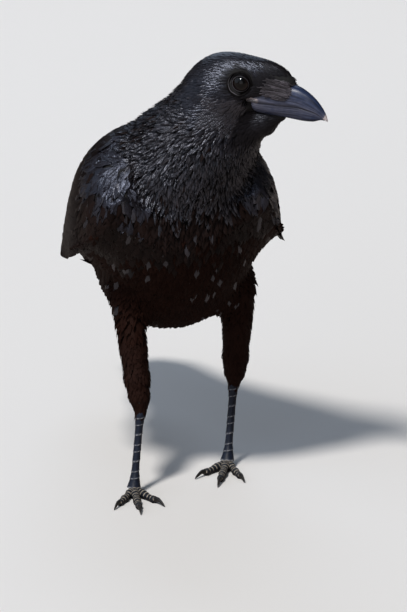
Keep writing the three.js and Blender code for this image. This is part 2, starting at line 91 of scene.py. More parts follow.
HEAD = Axes([43, -72, 343], 51, -9)
TRUNK = Axes([2, 4, 206], 0, 42)
TAIL = Axes([1, 86, 170], 180, -19)
TRUNK_WIDE = 64
LEGS = {
    "right": {"knee": (-38, 0, 156), "ankle": (-31, -19), "foot": (-38, -26), "heading": -8},
    "left": {"knee": (53, 12, 151), "ankle": (55, 39), "foot": (47, 27), "heading": -18},
}
ANKLE_HEIGHT = 64
ANKLE_CUT = 67  # the coat ends here, over the top of the bare leg
TOE_JOINT_HEIGHT = 8
HEAD_SIDES = {"right": 1, "left": -1}  # along the head's own axis to the right
EYE_RADIUS = 8.0
EYE_PROUD = 2.2
EYE_FORWARD, EYE_UP = 0.2, -0.65
EYE_CLEAR = 10.4  # no feather is rooted nearer to the eye's centre
LID_HALF_LONG, LID_HALF_TALL = 6.1, 5.7  # half of the opening between the lids
LID_REACH = 9.2
SKULL_MIDDLE = [-2, 0, -6]
GAPE = 5
BILL_TIP = 70
LOWER_TIP = 67.4


def ellipsoid(axes, centre, half):
    middle, half = axes.world(centre), np.array(half, float)

    def field(points):
        q = (points - middle) @ axes.rows.T
        a = length_of(q / half)
        b = length_of(q / half**2)
        return np.where(b < 1e-9, -half.min(), a * (a - 1) / np.maximum(b, 1e-9))

    return field


def limb(start, end, r0, r1):
    start, end = np.array(start, float), np.array(end, float)
    axis = end - start

    def field(points):
        d = points - start
        t = np.clip(d @ axis / (axis @ axis), 0, 1)
        return length_of(d - t[..., None] * axis) - (r0 + (r1 - r0) * t)

    return field


def soft_min(a, b, softness):
    """The smaller of two distances, with a fillet where they are close."""
    h = np.maximum(softness - np.abs(a - b), 0) / softness
    return np.minimum(a, b) - h * h * softness / 4


def blend(fields, softness):
    def field(points):
        best = fields[0](points)
        for other in fields[1:]:
            best = soft_min(best, other(points), softness)
        return best

    return field


def chain(joints, softness):
    """Tapering limbs through rows of (place, radius)."""
    return blend([limb(a[0], b[0], a[1], b[1]) for a, b in zip(joints, joints[1:])], softness)


def head_field():
    def part(centre, half):
        return ellipsoid(HEAD, centre, half)

    return blend(
        [
            part([-4, 0, -3.8], [32, 17.5, 20.4]),
            part([17, 0, 1.2], [23, 9.2, 16.2]),
            part([20, 0, -8], [21, 6.8, 12]),
            part([-8.5, -8.5, -13], [16, 10.5, 15.5]),
            part([-8.5, 8.5, -13], [16, 10.5, 15.5]),
            limb(HEAD.world([32, 0, -23]), HEAD.world([19, 0, -30]), 3.6, 7.5),
            limb(HEAD.world([18, 0, -34]), HEAD.world([-4, 0, -44]), 8.5, 19),
        ],
        8,
    )


def neck_field():
    spine = [
        ([1, -10, 234], 60),
        ([5, -27, 265], 47.5),
        ([16, -45.4, 293], 36.5),
        (HEAD.world([-25, 0, -21]), 27.5),
    ]
    return chain(spine, 18)


def trunk_field():
    return blend(
        [
            ellipsoid(TRUNK, [10, 0, 0], [62, TRUNK_WIDE, 56]),
            ellipsoid(TRUNK, [-32, 0, -9.5], [74, TRUNK_WIDE - 4, 54.5]),
            ellipsoid(TRUNK, [-14, 0, 14], [80, TRUNK_WIDE - 12, 44]),
            ellipsoid(TAIL, [-14, 0, -9], [66, 31, 20]),
        ],
        22,
    )


def leg_field(leg):
    bottom = np.array([*leg["ankle"], ANKLE_HEIGHT + 1.0])
    top = np.array(leg["knee"], float)
    calf = top + (bottom - top) * 0.74
    cuff = top + (bottom - top) * 0.89
    return blend([limb(top, calf, 15, 9.8), limb(calf, cuff, 9.4, 7.8), limb(cuff, bottom, 7.4, 3.9)], 6)


leg_fields = {name: leg_field(leg) for name, leg in LEGS.items()}
body_parts = [trunk_field(), neck_field(), head_field()]
body = blend(body_parts, 14)
whole = blend(body_parts + list(leg_fields.values()), 14)


def curve(rows):
    """A smooth curve through rows of [place, value] that never overshoots them (monotone cubic)."""
    x, y = np.array(rows, float).T
    h, d = np.diff(x), np.diff(y) / np.diff(x)
    m = np.zeros(len(x))
    same = d[:-1] * d[1:] > 0
    w1, w2 = 2 * h[1:] + h[:-1], h[1:] + 2 * h[:-1]
    safe = np.where(same, d[:-1], 1), np.where(same, d[1:], 1)
    m[1:-1] = np.where(same, (w1 + w2) / (w1 / safe[0] + w2 / safe[1]), 0)
    m[0], m[-1] = d[0], d[-1]

    def at(p):
        p = np.clip(p, x[0], x[-1])
        i = np.clip(np.searchsorted(x, p, side="right") - 1, 0, len(x) - 2)
        t = (p - x[i]) / h[i]
        a, b = (1 + 2 * t) * (1 - t) ** 2, t * (1 - t) ** 2
        c, e = t * t * (3 - 2 * t), t * t * (t - 1)
        return a * y[i] + b * h[i] * m[i] + c * y[i + 1] + e * h[i] * m[i + 1]

    return at


# the bill's half-width, ridge, keel and mouth line at each place forward of the head's centre
BILL_HALF_WIDTH = curve(
    [[5, 13.2], [12, 12.6], [20, 11.6], [28, 10.4], [34, 9.4], [46, 6.8], [58, 4.2], [65, 2.2], [70, 0.6]]
)
CULMEN = curve([[8, 4.5], [30, 5], [42, 4.4], [50, 2.2], [57, -1.2], [63, -5.6], [67.5, -10.4], [70, -15]])
GONYS = curve(
    [[5, -22], [14, -23.8], [24, -23], [36, -21.9], [49, -20.9], [58, -19.2], [66, -15.8], [70, -15.6]]
)
TOMIUM = curve([[5, -14.2], [18, -13], [32, -11.4], [47, -9.8], [59, -11], [66, -14], [70, -15.8]])


def bill_side(f, up):
    """The bill's half-width at a place along it and a height, in the head's frame."""
    tom = TOMIUM(f)
    ridge = np.where(up > tom, CULMEN(f), GONYS(f))
    tall = np.maximum(np.abs(ridge - tom), 0.3)
    rise = np.clip(np.abs(up - tom) / tall, 0, 1) ** (1 / 0.9)
    return BILL_HALF_WIDTH(f) * np.sqrt(np.clip(1 - rise**2, 0, 1)) ** 0.8


# the face gives way between these heights on either side of the mouth
RECESS_LOW = curve([[5, -16], [8.5, -19], [12, -23.8], [28, -22.6], [46, -19.5]])
RECESS_HIGH = curve([[5, -13], [12, -10.4], [20, -8], [28, -7.4], [46, -6]])


def flesh(points):
    """The bird's own shape. The face gives way beside the mouth, where the bill's flanks show."""
    f, side, up = HEAD.split(points)
    beside = BILL_HALF_WIDTH(f) - 1.6 - np.abs(side)
    recess = np.maximum.reduce([GAPE + 1.2 - f, RECESS_LOW(f) - up, up - RECESS_HIGH(f), beside])
    return -soft_min(-whole(points), recess, 2.0)


def slope(field, points, step=0.06):
    """The field's gradient, from four samples at the corners of a small tetrahedron."""
    total = 0
    for corner in ((1, -1, -1), (-1, -1, 1), (-1, 1, -1), (1, 1, 1)):
        k = np.array(corner, float)
        total = total + k * field(points + k * step)[..., None]
    return total / (4 * step)


def smoothstep(low, high, x):
    t = np.clip((x - low) / (high - low), 0, 1)
    return t * t * (3 - 2 * t)


def fade(low, high, x):
    return 1 - smoothstep(low, high, x)


def bell(x, centre, width):
    return np.exp(-(((x - centre) / width) ** 2))


def between(a, b, share):
    return a + (b - a) * share


def last_inside(inside, near, far, passes):
    """How far from near towards far inside(place) still holds, by halving."""
    for _ in range(passes):
        middle = (near + far) / 2
        within = inside(middle)
        near, far = np.where(within, middle, near), np.where(within, far, middle)
    return near


def eye_centre(side):
    def inside(out):
        return body(HEAD.world([EYE_FORWARD, side * out, EYE_UP])) < 0

    face = last_inside(inside, 5.0, 35.0, 12)
    return HEAD.world([EYE_FORWARD, side * (face + EYE_PROUD - EYE_RADIUS), EYE_UP])


EYES = {name: eye_centre(side) for name, side in HEAD_SIDES.items()}
low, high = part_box("eye_right")
SHIFT = (np.array(low) + np.array(high)) / 2 * 1000 - EYES["right"]  # from the bird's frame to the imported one


def scene_points(points):
    return (np.asarray(points) + SHIFT) / 1000


# ------------------------------------------------------------------ the coat's depth and its regions
BODY_COAT, HEAD_COAT, FACE_COAT, WING_COAT = 5.0, 1.3, 0.6, 1.0  # how deep the skin lies under the coat


def regions(points):
    """How far each point is a point of the face, head and legs, from 0 to 1."""
    q = HEAD.local(points)
    from_head = length_of(q - SKULL_MIDDLE)
    head = fade(32, 62, from_head)
    face = smoothstep(2, 22, q[..., 0])
    face = face * fade(26, 44, from_head - np.maximum(q[..., 0] - 10, 0))
    leg = np.minimum(*(f(points) for f in leg_fields.values()))
    legs = fade(2, 9, leg) * fade(112, 140, points[..., 2])
    return face, head, legs


def coat_depth(points):
    face, head, legs = regions(points)
    depth = between(between(BODY_COAT, HEAD_COAT, head), FACE_COAT, face)
    calf = 0.7 + 1.5 * smoothstep(66, 90, points[..., 2])
    return between(depth, calf, legs)


def eye_hollow(points):
    """How much deeper the skin lies round each eyeball."""
    return sum(1.5 * np.exp(-((length_of(points - centre) / 9.1) ** 4)) for centre in EYES.values())


def arm_field(side, inset):
    """The folded arm, from the shoulder to the wrist and back along the hand, inside the wing's feathers."""
    joints = [
        ([side * 38, -26, 250], 9),
        ([side * (62 - inset), -42, 243], 6),
        ([side * (69 - inset), -22, 244], 7.5),
        ([side * (69 - inset), 10, 240], 7),
        ([side * (62 - inset), 50, 218], 3.5),
    ]
    return chain(joints, 6)


arms = [arm_field(-1, 2), arm_field(1, 8)]


def skin_field(points):
    near_ankle = ANKLE_CUT - 2.0 - points[..., 2]
    inner = flesh(points) + coat_depth(points) + eye_hollow(points)
    covered = blend([lambda p: inner, *arms], 8)(points)
    return np.maximum(covered, near_ankle)


def pull_to(field, level, points, passes=3):
    for _ in range(passes):
        g = slope(field, points)
        size = np.maximum((g * g).sum(-1, keepdims=True), 0.2)
        step = (field(points) - level)[..., None] * g / size
        points = points - np.clip(step, -3, 3)
    return points


def surface_net(field, low, high, cell):
    """One vertex in each cell that the surface crosses, and one quad round each crossed edge."""
    low = np.array(low, float)
    count = np.ceil((np.array(high) - low) / cell).astype(int) + 1
    grid = np.stack(np.meshgrid(*(np.arange(n) for n in count), indexing="ij"), -1)
    values = np.stack([field(low + plane * cell) for plane in grid])
    inside = values < 0
    corners = np.array([(a & 1, (a >> 1) & 1, a >> 2) for a in range(8)])
    windows = [tuple(slice(c, n - 1 + c) for c, n in zip(corner, count)) for corner in corners]
    total = sum(inside[window].astype(int) for window in windows)
    cells = np.argwhere((total > 0) & (total < 8))
    number = -np.ones(count - 1, int)
    number[tuple(cells.T)] = np.arange(len(cells))
    sums, hits = np.zeros((len(cells), 3)), np.zeros(len(cells))
    edges = [(corners[a], corners[a | bit]) for a in range(8) for bit in (1, 2, 4) if not a & bit]
    for start, end in edges:
        before, after = values[tuple((cells + start).T)], values[tuple((cells + end).T)]
        crossed = (before < 0) != (after < 0)
        t = np.where(crossed, before / np.where(crossed, before - after, 1), 0)
        sums += np.where(crossed[:, None], cells + start + t[:, None] * (end - start), 0)
        hits += crossed
    faces = []
    for axis in range(3):
        step, u, v = np.roll(np.eye(3, dtype=int), -axis, 0)
        first = inside[tuple(slice(0, n - s) for n, s in zip(count, step))]
        second = inside[tuple(slice(s, n) for n, s in zip(count, step))]
        edge = np.argwhere(first != second)
        edge = edge[((edge - u - v) >= 0).all(1) & (edge < count - 1).all(1)]
        ring = [number[tuple((edge - i * u - j * v).T)] for i, j in ((1, 1), (0, 1), (0, 0), (1, 0))]
        ring = np.stack(ring, 1)
        flip = ~inside[tuple(edge.T)]
        ring[flip] = ring[flip][:, ::-1]
        faces.append(ring[(ring >= 0).all(1)])
    return low + cell * sums / hits[:, None], np.concatenate(faces)


# ------------------------------------------------------------------ meshes from arrays
def in_scene(name, data):
    thing = bpy.data.objects.new(name, data)
    bpy.context.scene.collection.objects.link(thing)
    return thing


def make_object(name, points, faces, material, uvs=None, marks=None, replaced=()):
    """A piece made of quads. uvs maps a name to a pair for each corner, marks to a number for each point."""
    mesh = bpy.data.meshes.new(name)
    faces = np.asarray(faces, np.int32)
    mesh.vertices.add(len(points))
    mesh.vertices.foreach_set("co", scene_points(points).astype(np.float32).ravel())
    mesh.loops.add(faces.size)
    mesh.loops.foreach_set("vertex_index", faces.ravel())
    mesh.polygons.add(len(faces))
    mesh.polygons.foreach_set("loop_start", np.arange(0, faces.size, 4, dtype=np.int32))
    mesh.update(calc_edges=True)
    mesh.validate()
    mesh.polygons.foreach_set("use_smooth", np.ones(len(mesh.polygons), bool))
    for key, values in (uvs or {}).items():
        layer = mesh.uv_layers.new(name=key)
        layer.uv.foreach_set("vector", np.asarray(values, np.float32).ravel())
    for key, values in (marks or {}).items():
        layer = mesh.attributes.new(key, "FLOAT", "POINT")
        layer.data.foreach_set("value", np.asarray(values, np.float32).ravel())
    mesh.materials.append(material)
    thing = in_scene(name, mesh)
    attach(thing, "root")
    if replaced:
        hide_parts(*replaced)
    return thing


# ------------------------------------------------------------------ the lie of the coat
# Rows of a place and the way that the feathers point there. The side rows are mirrored.
HEAD_LIE = [
    ((38, 0, 4), (-1, 0, 0.5)),
    ((28, 0, 16), (-1, 0, 0.35)),
    ((5, 0, 19), (-1, 0, -0.05)),
    ((-22, 0, 12), (-0.85, 0, -0.5)),
    ((-32, 0, -5), (-0.6, 0, -0.8)),
    ((30, 0, -26), (-1, 0, -0.25)),
    ((14, 0, -38), (-0.6, 0, -0.8)),
    ((6, 0, -50), (-0.3, 0, -0.95)),
]
HEAD_SIDE_LIE = [
    ((32, 9, -4), (-1, 0, 0.1)),
    ((14, 13, 6), (-1, 0, 0.25)),
    ((12, 14, -10), (-1, 0, -0.1)),
    ((0, 18, 9), (-1, 0, 0.1)),
    ((-4, 19, -10), (-0.95, 0, -0.3)),
    ((-20, 18, -8), (-0.9, 0, -0.5)),
    ((4, 16, -26), (-0.8, 0, -0.6)),
    ((20, 9, -24), (-1, 0, -0.3)),
]
BODY_LIE = [
    ((36, -98, 290), (-0.05, 0.1, -1)),
    ((20, -94, 268), (-0.05, 0.0, -1)),
    ((0, -78, 238), (0, 0.05, -1)),
    ((0, -72, 200), (0, 0.3, -0.95)),
    ((0, -46, 150), (0, 0.65, -0.75)),
    ((0, 0, 124), (0, 1, -0.1)),
    ((0, 60, 128), (0, 1, 0.12)),
    ((0, 110, 142), (0, 0.96, -0.28)),
    ((-8, -18, 316), (-0.3, 0.62, -0.72)),
    ((0, 8, 290), (0, 0.8, -0.6)),
    ((0, 45, 262), (0, 0.78, -0.62)),
    ((0, 90, 208), (0, 0.86, -0.5)),
    ((0, 130, 168), (0, 0.95, -0.33)),
]
BODY_SIDE_LIE = [
    ((40, -62, 280), (0.15, 0.35, -0.93)),
    ((50, -30, 290), (0.35, 0.5, -0.8)),
    ((55, -40, 230), (0, 0.4, -0.92)),
    ((62, 0, 200), (0, 0.6, -0.8)),
    ((52, -20, 160), (0, 0.5, -0.86)),
    ((55, 40, 165), (0, 0.85, -0.52)),
    ((40, 70, 150), (0, 0.95, -0.3)),
]


def both_sides(rows, axis):
    mirror = np.ones(3)
    mirror[axis] = -1
    rows = np.array(rows, float)
    return [*(rows * mirror), *rows]


head_lie = [(HEAD.world(at), HEAD.turn(way)) for at, way in HEAD_LIE + both_sides(HEAD_SIDE_LIE, 1)]
lie = head_lie + BODY_LIE + both_sides(BODY_SIDE_LIE, 0)
SEED_AT = np.array([at for at, _ in lie], float)
SEED_WAY = unit(np.array([way for _, way in lie], float))


def flow(points):
    d2 = ((points[:, None, :] - SEED_AT[None]) ** 2).sum(-1)
    weight = 1 / (d2 + 40.0) ** 2
    way = (weight[..., None] * SEED_WAY).sum(1) / weight.sum(1, keepdims=True)
    way = unit(way)
    for centre in EYES.values():
        away = points - centre
        far = length_of(away)[:, None]
        away = away / np.maximum(far, 1e-6)
        inward = np.maximum(-(way * away).sum(-1, keepdims=True), 0)
        way = unit(way + away * inward * 1.2 * fade(9.5, 16, far))
    for name, leg in LEGS.items():
        top, bottom = np.array(leg["knee"], float), np.array([*leg["ankle"], ANKLE_HEIGHT])
        share = fade(4, 16, leg_fields[name](points)) * fade(118, 150, points[:, 2])
        way = unit(way * (1 - share[:, None]) + unit(bottom - top) * share[:, None])
    return way


def on_surface(way, normal):
    return unit(way - (way * normal).sum(-1, keepdims=True) * normal)


def turned(way, normal, angle):
    c, s = np.cos(angle)[:, None], np.sin(angle)[:, None]
    return way * c + np.cross(normal, way) * s


# ------------------------------------------------------------------ feathers as thin vanes
BAKE_PATCH = 0.003  # a feather's width on the OFBake map
FINE = np.array([-1, -0.66, -0.33, 0, 0.33, 0.66, 1])  # the points across a broad vane


class Coat:
    """Gathers vanes for one piece, then joins them into one mesh."""

    def __init__(self):
        self.points, self.faces, self.vane, self.bake, self.tone = [], [], [], [], []
        self.count = 0

    def add(self, path, normal, half_width, columns, root_uv, tone, camber, ragged):
        """path and normal: (feathers, rows, 3). half_width: (feathers, rows). columns: across, -1 to 1."""
        n, rows, _ = path.shape
        columns = np.array(columns, float)
        share = np.linspace(0, 1, rows)
        short = ragged * np.abs(columns) ** 1.5 * (0.4 + 1.2 * rng.random((n, len(columns))))
        s = share[:, None] * (1 - short[:, None, :] * share[:, None] ** 3)
        place = np.interp(s.ravel(), share, np.arange(rows)).reshape(s.shape)
        index = np.minimum(place.astype(int), rows - 2)
        t = (place - index)[..., None]
        who = np.arange(n)[:, None, None]
        centre = path[who, index] * (1 - t) + path[who, index + 1] * t
        up = unit(normal[who, index] * (1 - t) + normal[who, index + 1] * t)
        tangent = unit(np.gradient(path, axis=1))
        side = unit(np.cross(tangent, normal))[:, :, None, :]
        wide = half_width[:, :, None, None] * columns[:, None]
        drop = camber * half_width[:, :, None, None] * columns[:, None] ** 2
        self.add_grid(centre + side * wide - up * drop, columns, root_uv, tone)

    def add_grid(self, made, columns, root_uv, tone):
        """made: (feathers, rows, columns, 3). root_uv: the root's place on the skin. tone: its lightness."""
        n, rows, across, _ = made.shape
        uv = np.empty((n, rows, across, 2))
        uv[..., 0] = (columns + 1) / 2
        uv[..., 1] = np.linspace(0, 1, rows)[:, None]
        r, c = np.arange(rows - 1)[:, None], np.arange(across - 1)
        corner = (np.arange(n) * rows * across)[:, None, None] + r * across + c
        local = np.stack([corner, corner + 1, corner + across + 1, corner + across], -1).reshape(-1, 4)
        patch = root_uv[:, None, None, :] + BAKE_PATCH * (uv - 0.5)
        self.points.append(made.reshape(-1, 3))
        self.faces.append(local + self.count)
        self.vane.append(uv.reshape(-1, 2)[local].reshape(-1, 2))
        self.bake.append(patch.reshape(-1, 2)[local].reshape(-1, 2))
        self.tone.append(np.repeat(tone, rows * across))
        self.count += n * rows * across

    def finish(self, name, material, slot, *replaced):
        uvs = {"Vane": np.concatenate(self.vane), "OFBake": np.concatenate(self.bake)}
        marks = {"tone": np.concatenate(self.tone)}
        faces = np.concatenate(self.faces)
        make_object(name, np.concatenate(self.points), faces, material, uvs, marks, replaced)
        print(name, "triangles", 2 * len(faces))


def leaf(rows, blunt, stem):
    """A vane's half-widths from root to tip, from 0 to 1: narrow at the root and rounded at the tip."""
    s = np.linspace(0, 1, rows)
    rise = np.clip(s / stem, 0, 1) ** 0.7
    tip = np.sqrt(np.clip(1 - (np.clip(s - blunt, 0, 1) / (1 - blunt)) ** 2, 0, 1))
    return (0.25 + 0.75 * rise) * np.maximum(tip, 0.06)


def walk(roots, length, depth, lift, yaw, rows):
    """Paths over the flesh from the skin out to the coat's surface, along the lie of the coat."""
    p = roots
    path, normals = [], []
    for s in np.arange(rows) / (rows - 1):
        g = slope(draped, p)
        normal = unit(g)
        level = -depth * (1 - s) ** 1.5 + lift * s**2
        size = np.maximum((g * g).sum(-1), 0.2)
        p = p - ((draped(p) - level) / size)[:, None] * g
        path.append(p)
        normals.append(normal)
        p = p + turned(on_surface(flow(p), normal), normal, yaw) * (length / (rows - 1))[:, None]
    return np.stack(path, 1), np.stack(normals, 1)


def spread_points(points, usable, spacing):
    """Variable Poisson discs: keeps points in the order given, each clearing the space round it."""
    tree = KDTree(len(points))
    for i, p in enumerate(points):
        tree.insert(p, i)
    tree.balance()
    alive = usable.copy()
    kept = []
    for i, p in enumerate(points):
        if alive[i]:
            kept.append(i)
            for _, j, _ in tree.find_range(p, spacing[i]):
                alive[j] = False
    return np.array(kept)


# ------------------------------------------------------------------ materials
def node(tree, kind, inputs=(), **settings):
    """A new node's outputs. inputs maps a socket to a constant or to another node's output."""
    made = tree.nodes.new("ShaderNode" + kind)
    for key, value in settings.items():
        setattr(made, key, value)
    for key, value in dict(inputs).items():
        if isinstance(value, bpy.types.NodeSocket):
            tree.links.new(value, made.inputs[key])
        else:
            made.inputs[key].default_value = value
    return made.outputs


class Look:
    """A principled material, with a call for each node that the materials share."""

    def __init__(self, name, **values):
        self.material = bpy.data.materials.new(name)
        self.material.use_nodes = True
        self.tree = self.material.node_tree
        self.shader = self.tree.nodes["Principled BSDF"]
        for key, value in values.items():
            self.shader.inputs[key.replace("_", " ")].default_value = value

    def node(self, kind, inputs=(), **settings):
        return node(self.tree, kind, inputs, **settings)

    def place(self):
        return self.node("TexCoord")["Object"]

    def vane(self):
        return self.node("UVMap", uv_map="Vane")["UV"]

    def stretched(self, vector, scale):
        return self.node("Mapping", {"Vector": vector, "Scale": scale})[0]

    def mark(self, name):
        return self.node("Attribute", attribute_name=name)["Fac"]

    def noise(self, vector, scale, detail, distortion=0.0):
        inputs = {"Vector": vector, "Scale": scale, "Detail": detail, "Distortion": distortion}
        return self.node("TexNoise", inputs)["Fac"]

    def math(self, operation, *values, clamp=False):
        return self.node("Math", enumerate(values), operation=operation, use_clamp=clamp)[0]

    def mix(self, factor, a, b, blend_type="MIX"):
        return self.node("Mix", {"Factor": factor, 6: a, 7: b}, data_type="RGBA", blend_type=blend_type)[2]

    def bump(self, height, strength, distance, **normal):
        return self.node("Bump", {"Height": height, "Strength": strength, "Distance": distance, **normal})[0]

    def ramp(self, source, *stops):
        made = self.tree.nodes.new("ShaderNodeValToRGB")
        self.tree.links.new(source, made.inputs["Fac"])
        elements = made.color_ramp.elements
        elements[0].position, elements[1].position = stops[0][0], stops[-1][0]
        for place, _ in stops[1:-1]:
            elements.new(place)
        for element, (_, colour) in zip(elements, stops):
            element.color = (*colour, 1)
        return made.outputs["Color"]

    def done(self, colour, normal=None):
        self.tree.links.new(colour, self.shader.inputs["Base Color"])
        if normal is not None:
            self.tree.links.new(normal, self.shader.inputs["Normal"])
        return self.material


def plumage(name, dark, light, sheen, roughness, gloss, barb):
    """Feather black: darker and lighter feathers, barbs as fine ridges across the vane."""
    look = Look(name, Roughness=roughness, IOR=1.5, Specular_IOR_Level=gloss, Specular_Tint=(*sheen, 1))
    tone = look.mark("tone")
    cloud = look.noise(look.place(), 38.0, 3.0)
    colour = look.ramp(look.math("ADD", tone, cloud), (0.35, dark), (1.0, light))
    # barbs slant towards the tip on either side of the shaft
    vane = look.node("SeparateXYZ", {0: look.vane()})
    away = look.math("ABSOLUTE", look.math("SUBTRACT", vane["X"], 0.5))
    slant = look.math("MULTIPLY_ADD", away, -0.6, vane["Y"])
    thin = look.node("CombineXYZ", {"X": slant, "Y": tone, "Z": away})[0]
    barbs = look.noise(look.stretched(thin, (34.0, 9.0, 1.5)), 1.0, 2.0)
    shaft = look.math("MULTIPLY_ADD", away, -28.0, 1.0, clamp=True)
    streaks = look.ramp(barbs, (0.3, (0.5, 0.5, 0.5)), (0.7, (1.3, 1.3, 1.35)))
    normal = look.bump(look.math("ADD", barbs, shaft), barb, 0.0012)
    return look.done(look.mix(0.5, colour, streaks, "MULTIPLY"), normal)


def plain_skin():
    look = Look("skin", Roughness=0.8, Specular_IOR_Level=0.3)
    grain = look.noise(look.place(), 900.0, 3.0)
    colour = look.ramp(grain, (0.3, (0.006, 0.006, 0.007)), (0.7, (0.014, 0.013, 0.013)))
    return look.done(colour, look.bump(grain, 0.4, 0.0004))


def horn(name, dark, worn, tip):
    """Bill and claw horn: polished, worn pale at the edges, with fine lengthwise lines. On the bill the pale
    mark also holds a painted highlight band.
    """
    look = Look(name, Roughness=0.34, IOR=1.54, Specular_IOR_Level=0.30)
    grain = look.noise(look.stretched(look.vane(), (46.0, 3.0, 1.0)), 1.0, 4.0, 0.4)
    blot = look.noise(look.place(), 260.0, 4.0)
    wear = look.math("MULTIPLY_ADD", blot, 0.5, look.mark("wear"))
    colour = look.ramp(wear, (0.28, dark), (0.85, worn), (1.0, tip))
    lines = look.ramp(grain, (0.32, (0.40, 0.40, 0.42)), (0.68, (1.65, 1.62, 1.58)))
    ridges = look.bump(grain, 0.25, 0.0004)
    return look.done(look.mix(1.0, colour, lines, "MULTIPLY"), look.bump(blot, 0.15, 0.0003, Normal=ridges))


def scaly(name, dark, pale, worn, gloss):
    """Bare skin: slate plates with worn pale edges and a fine pebbled grain."""
    look = Look(name, Roughness=0.46, IOR=1.5, Specular_IOR_Level=gloss)
    place = look.place()
    pebble = look.node("TexVoronoi", {"Vector": place, "Scale": 1500.0})["Distance"]
    plate = look.ramp(look.noise(place, 420.0, 3.0), (0.3, dark), (0.72, pale))
    return look.done(look.mix(look.mark("wear"), plate, (*worn, 1)), look.bump(pebble, 0.3, 0.0003))


def wet_eye():
    """A black pupil in a dark brown iris. The mark is the angle from the eye's axis."""
    look = Look("eye", Roughness=0.03, IOR=1.38, Specular_IOR_Level=0.5)
    angle = look.math("MULTIPLY_ADD", look.noise(look.place(), 700.0, 3.0), 0.06, look.mark("wear"))
    pupil = (0.0015, 0.0012, 0.0012)
    iris = [(0.43, (0.006, 0.0035, 0.0026)), (0.58, (0.011, 0.0062, 0.0058)), (0.70, (0.005, 0.0034, 0.0034))]
    return look.done(look.ramp(angle, (0.0, pupil), (0.37, pupil), *iris, (1.0, (0.004, 0.003, 0.003))))


# the dark and light feathers of each region, its sheen, roughness and gloss, and how far its barbs stand
BLACKS = {
    "head": ((0.0032, 0.0028, 0.0036), (0.0115, 0.0103, 0.0125), (0.74, 0.80, 1.0), 0.25, 0.42, 0.12),
    "face": ((0.0032, 0.0025, 0.0028), (0.0085, 0.0070, 0.0078), (0.8, 0.85, 1.0), 0.35, 0.22, 0.12),
    # the neck's light tone is partly painted glints on the throat's hackle tips and painted sheen on the cheek
    # patch
    "neck": ((0.0036, 0.0028, 0.0031), (0.020, 0.0165, 0.018), (0.80, 0.84, 1.0), 0.26, 0.80, 0.25),
    "back": ((0.0036, 0.0028, 0.0034), (0.011, 0.009, 0.011), (0.70, 0.80, 1.0), 0.30, 0.40, 0.3),
    "shoulder": ((0.0036, 0.0028, 0.0034), (0.011, 0.009, 0.011), (0.68, 0.76, 1.0), 0.27, 0.60, 0.3),
    "breast": ((0.0050, 0.0023, 0.0017), (0.0130, 0.0070, 0.0057), (0.92, 0.93, 1.0), 0.36, 0.10, 0.35),
    # belly and thigh: warm brown-black, partly the feathers' own and partly painted warm bounce light; the
    # thigh is lighter still, painted light lifting its shade
    "belly": ((0.0098, 0.0036, 0.0024), (0.0180, 0.0072, 0.0050), (1.0, 0.92, 0.86), 0.55, 0.045, 0.35),
    "thigh": ((0.0115, 0.0048, 0.0036), (0.0200, 0.0088, 0.0066), (1.0, 0.92, 0.86), 0.55, 0.045, 0.35),
    "wing": ((0.0040, 0.0024, 0.0022), (0.0090, 0.0058, 0.0053), (0.74, 0.82, 1.0), 0.40, 0.06, 0.35),
}
PLUMAGE = {region: plumage(region + "_plumage", *look) for region, look in BLACKS.items()}
# the bristles' light tone is partly painted highlights along their pale streaks
BRISTLE_BLACKS = (0.0045, 0.0038, 0.0046), (0.110, 0.098, 0.114)
BRISTLE = plumage("bristles", *BRISTLE_BLACKS, (1.0, 0.98, 0.98), 0.42, 0.22, 0.1)
SKIN = plain_skin()
# the bill's horn colours are tinted blue: black horn with a painted reflection of the sky
BILL_HORN_SKY_TINTED = horn("bill_horn", (0.016, 0.026, 0.064), (0.095, 0.100, 0.140), (0.46, 0.41, 0.42))
GAPE_SKIN = horn("gape_skin", (0.030, 0.031, 0.038), (0.060, 0.058, 0.064), (0.10, 0.09, 0.095))
CLAW_HORN = horn("claw_horn", (0.010, 0.010, 0.012), (0.030, 0.028, 0.027), (0.06, 0.05, 0.045))
# the shanks' scute colours are tinted blue: slate scutes with a painted sheen of the sky
LEG_SKIN_SKY_TINTED = scaly("leg_scutes", (0.005, 0.008, 0.017), (0.012, 0.018, 0.036), (0.34, 0.35, 0.38), 0.30)
TOE_SKIN = scaly("toe_scutes", (0.006, 0.008, 0.013), (0.014, 0.017, 0.026), (0.60, 0.52, 0.41), 0.25)
LID_SKIN = scaly("eyelid", (0.0020, 0.0016, 0.0017), (0.0040, 0.0033, 0.0036), (0.19, 0.18, 0.20), 0.06)
EYE_WET = wet_eye()

# ------------------------------------------------------------------ the skin
SKIN_CELL = 2.4
skin_points, skin_faces = surface_net(skin_field, [-84, -128, 62], [86, 148, 374], SKIN_CELL)
skin_points = pull_to(skin_field, 0, skin_points)
skin = make_object("skin", skin_points, skin_faces, SKIN)
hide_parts("head", "neck", "trunk", "thigh_right", "thigh_left")
print("skin", len(skin_points), "points")


def unwrap(thing):
    bpy.ops.object.select_all(action="DESELECT")
    bpy.context.view_layer.objects.active = thing
    thing.select_set(True)
    bpy.ops.object.mode_set(mode="EDIT")
    bpy.ops.mesh.select_all(action="SELECT")
    bpy.ops.uv.smart_project(angle_limit=math.radians(66), island_margin=0.002)
    bpy.ops.object.mode_set(mode="OBJECT")


skin.data.uv_layers.new(name="OFBake")
unwrap(skin)

